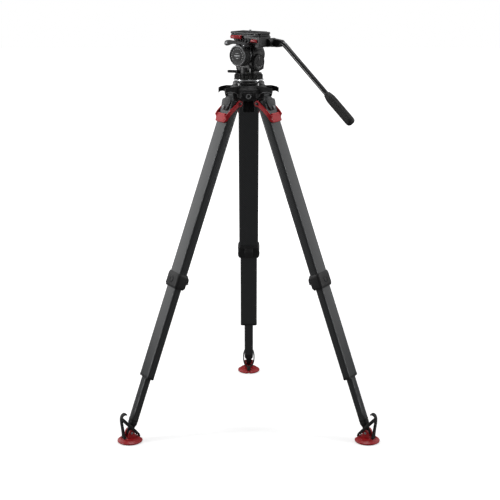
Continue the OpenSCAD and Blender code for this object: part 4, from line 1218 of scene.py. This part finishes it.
# %% [markdown]
# ## Pan bar
# The bar is a tube bent once and carried along a path. Its clamp is a round eye on the rosette with an arm
# that holds the tube. The grip is a lathe shape about the bar's own line, whose radius ripples round it to
# make lengthwise ribs. A wing knob through the eye locks the angle.

# %% Clamp, bar, grip and knob
bar_y, bar_z, bar_bend, bar_slope, bar_run = 37.0, tilt_h + 35.0, 24.0, 41.2, 313.0
grip_from = bar_run - 116.0
clamp_eye = moved(lathe(rounded([(5, 30.0), (12.2, 30.0), (13, 30.9), (13, 44), (11.8, 45), (5, 45)],
                          (0.2, 0.6, 0.6, 1, 1, 0.2), 4), "y", 80, loop=True), rosette_at)
arm = slab(rounded([(61, tilt_h + 48.4), (82, tilt_h + 46), (98, tilt_h + 44), (103, tilt_h + 37),
                    (94, tilt_h + 25), (80, tilt_h + 23), (61, tilt_h + 23.6)], (3, 6, 5, 4, 5, 5, 3), 6),
           29.6,
           44.6, 3.0, "y", 6)
clamp_bolt = moved(turned(bolt(3.0, 1.8), -90, "x"), (88, 44.2, tilt_h + 35))
piece("bar_holder", [clamp_eye, arm, (clamp_bolt, 1)], head_place, "bar", [casting, steel], "satin_black",
      "bar_clamp")

bend = np.radians(np.linspace(0, bar_slope, 14))
curve_part = np.stack([90.5 + bar_bend * np.sin(bend), np.full(14, bar_y),
                       bar_z - bar_bend + bar_bend * np.cos(bend)], -1)
bar_end = curve_part[-1]
along_bar = np.array([math.cos(math.radians(bar_slope)), 0.0, -math.sin(math.radians(bar_slope))])
bar_path = np.concatenate([[(76, bar_y, bar_z), (84, bar_y, bar_z)], curve_part,
                           bar_end + along_bar * np.array([[40.0], [110.0], [grip_from + 6]])])
piece("bar_tube", [sweep(bar_path, circle(7.25, 40), (0.0, 1.0, 0.0))], head_place, "bar", bar_lacquer,
      "carbon_tube",
      "pan_bar")
grip_profile = rounded([(7.4, grip_from - 0.4), (9.2, grip_from - 0.2), (10.4, grip_from + 3),
                        (13.6, grip_from + 17),
                        (14, grip_from + 24), (14, bar_run - 12), (12.8, bar_run - 3), (9, bar_run)],
                       (0.3, 1, 2, 6, 6, 5, 3, 1.5), 7, closed=False)
grip = lathe(grip_profile, "x", 288, ripple=lambda angle,
             h: 0.75 * (np.tanh(2.5 * np.cos(angle * 14)) - 1) / 2
             * np.clip((h - grip_from - 12) / 8, 0, 1) * np.clip((bar_run - 12 - h) / 5, 0, 1))
piece("bar_grip", [moved(turned(grip, bar_slope, "y", (0, 0, 0)), bar_end)], head_place, "bar", rubber,
      "black_rubber", "pan_grip")
knob_stem = lathe([(2.9, 14), (2.9, 45.6), (8.4, 45.6), (9, 46.4), (9, 53.8), (8, 55), (3, 55.2)], "y", 48)
knob_wing = slab(rounded([(-20, -4.4), (-8, -6), (8, -6), (20, -4.4), (20, 4.4), (8, 6), (-8, 6),
                          (-20, 4.4)],
                         (3, 6, 6, 3, 3, 6, 6, 3), 6), 49.2, 59, 2.2, "y", 5)
piece("bar_wing", [moved(knob_stem, rosette_at), moved(knob_wing, rosette_at)], head_place,
      "bar_knob", moulded, "black_plastic", "bar_knob")

# %% [markdown]
# ## Parts that stay as they are
# Shafts, bearings and springs inside the head already have their true shape in the frame. They only need a
# finish, which goes into their material slots.

# %% Inner parts
kept = {"tilt_shaft": steel, "tilt_bearings": steel, "pan_bearing": steel, "tie_rod": steel,
        "tilt_damper": dial_grey, "balance_spring": spring_steel, "clamp_cup": moulded}
for node_name, material in kept.items():
    mesh = bpy.data.objects[node_name].data
    mesh.materials.clear()
    mesh.materials.append(material)
print("kept with a new finish:", len(kept))
left_plain = [o.name for o in bpy.data.objects if o.type == "MESH" and not o.hide_render
              and not any(m and m.use_nodes and len(m.node_tree.nodes) > 3 for m in o.data.materials)]
print("still plain:", left_plain)

# %% [markdown]
# ## A pale studio
# The floor and the light are plain, so that the black parts are drawn by their highlights. Two large soft
# lights behind the object shine along the outer faces of the legs, and two narrow ones stand at its sides.
# The front is darker, so faces towards the viewer stay black. What the viewer sees behind the object is
# white, and what the object reflects is darker: Light Path nodes in the world and the floor tell them apart.

# %% Floor, world and lights
def soft_light(name, size, energy, location, target):
    """A rectangular area light that looks at a target."""
    data = bpy.data.lights.new(name, "AREA")
    data.shape = "RECTANGLE"
    data.size, data.size_y = size
    data.energy = energy
    light = bpy.data.objects.new(name, data)
    light.location = location
    away = np.array(location, float) - np.array(target, float)
    yaw = math.atan2(away[0], -away[1])
    light.rotation_euler = (math.atan2(math.hypot(away[0], away[1]), away[2]), 0.0, yaw)
    bpy.context.scene.collection.objects.link(light)
    return light


soft_light("left_back_softbox", (2.6, 3.2), 25, (-2.3, 1.6, 1.8), (0, 0, 0.6))
soft_light("right_back_softbox", (2.6, 3.2), 15, (2.4, 1.6, 1.8), (0, 0, 0.6))
soft_light("left_strip", (0.3, 2.4), 26, (-2.4, -0.7, 1.1), (0, 0, 0.8))
soft_light("right_strip", (0.3, 2.4), 20, (2.4, -0.7, 1.1), (0, 0, 0.8))
soft_light("top_softbox", (1.8, 1.8), 30, (0.1, 0.2, 3.2), (0, 0, 0))

world = bpy.data.worlds.new("studio")
bpy.context.scene.world = world
world.use_nodes = True
w_tree = world.node_tree
background = w_tree.nodes["Background"]
path_kind = w_tree.nodes.new("ShaderNodeLightPath")
reflected = node(w_tree, "ShaderNodeMapRange", Value=path_kind.outputs["Is Camera Ray"], To_Min=0.14,
                 To_Max=1.0)
w_tree.links.new(reflected.outputs[0], background.inputs["Strength"])
background.inputs["Color"].default_value = (1.0, 1.0, 1.0, 1.0)

floor_mesh = bpy.data.meshes.new("floor")
half_floor = 14.0
corners = [(x * half_floor, y * half_floor, 0) for x, y in ((-1, -1), (1, -1), (1, 1), (-1, 1))]
floor_mesh.from_pydata(corners, [], [(0, 1, 2, 3)])
floor = bpy.data.objects.new("floor", floor_mesh)
bpy.context.scene.collection.objects.link(floor)
floor_finish, f_tree, f_shader, f_coords = start_material("pale_floor")
seen = node(f_tree, "ShaderNodeLightPath")
mottle = node(f_tree, "ShaderNodeTexNoise", Vector=f_coords.outputs["Object"], Scale=3.0)
pale = node(f_tree, "ShaderNodeMapRange", Value=mottle.outputs[0], To_Min=0.90, To_Max=0.93)
shown = maths(f_tree, "MULTIPLY", pale.outputs[0], seen.outputs["Is Camera Ray"])
f_tree.links.new(maths(f_tree, "MAXIMUM", shown, 0.16), f_shader.inputs["Base Color"])
f_shader.inputs["Roughness"].default_value = 0.9
f_shader.inputs["Emission Color"].default_value = (1, 1, 1, 1)
distance = node(f_tree, "ShaderNodeVectorMath", {"operation": "LENGTH"}, i0=f_coords.outputs["Object"])
far = node(f_tree, "ShaderNodeMapRange", Value=distance.outputs["Value"], From_Min=0.9, From_Max=2.4,
           To_Min=0.5,
           To_Max=1.1)
f_tree.links.new(maths(f_tree, "MULTIPLY", far.outputs[0], seen.outputs["Is Camera Ray"]),
                 f_shader.inputs["Emission Strength"])
floor.data.materials.append(floor_finish)
bpy.context.scene.view_settings.view_transform = "Standard"
print("studio is lit")

# %% [markdown]

# %% Finish
print("pieces:", len(pieces))
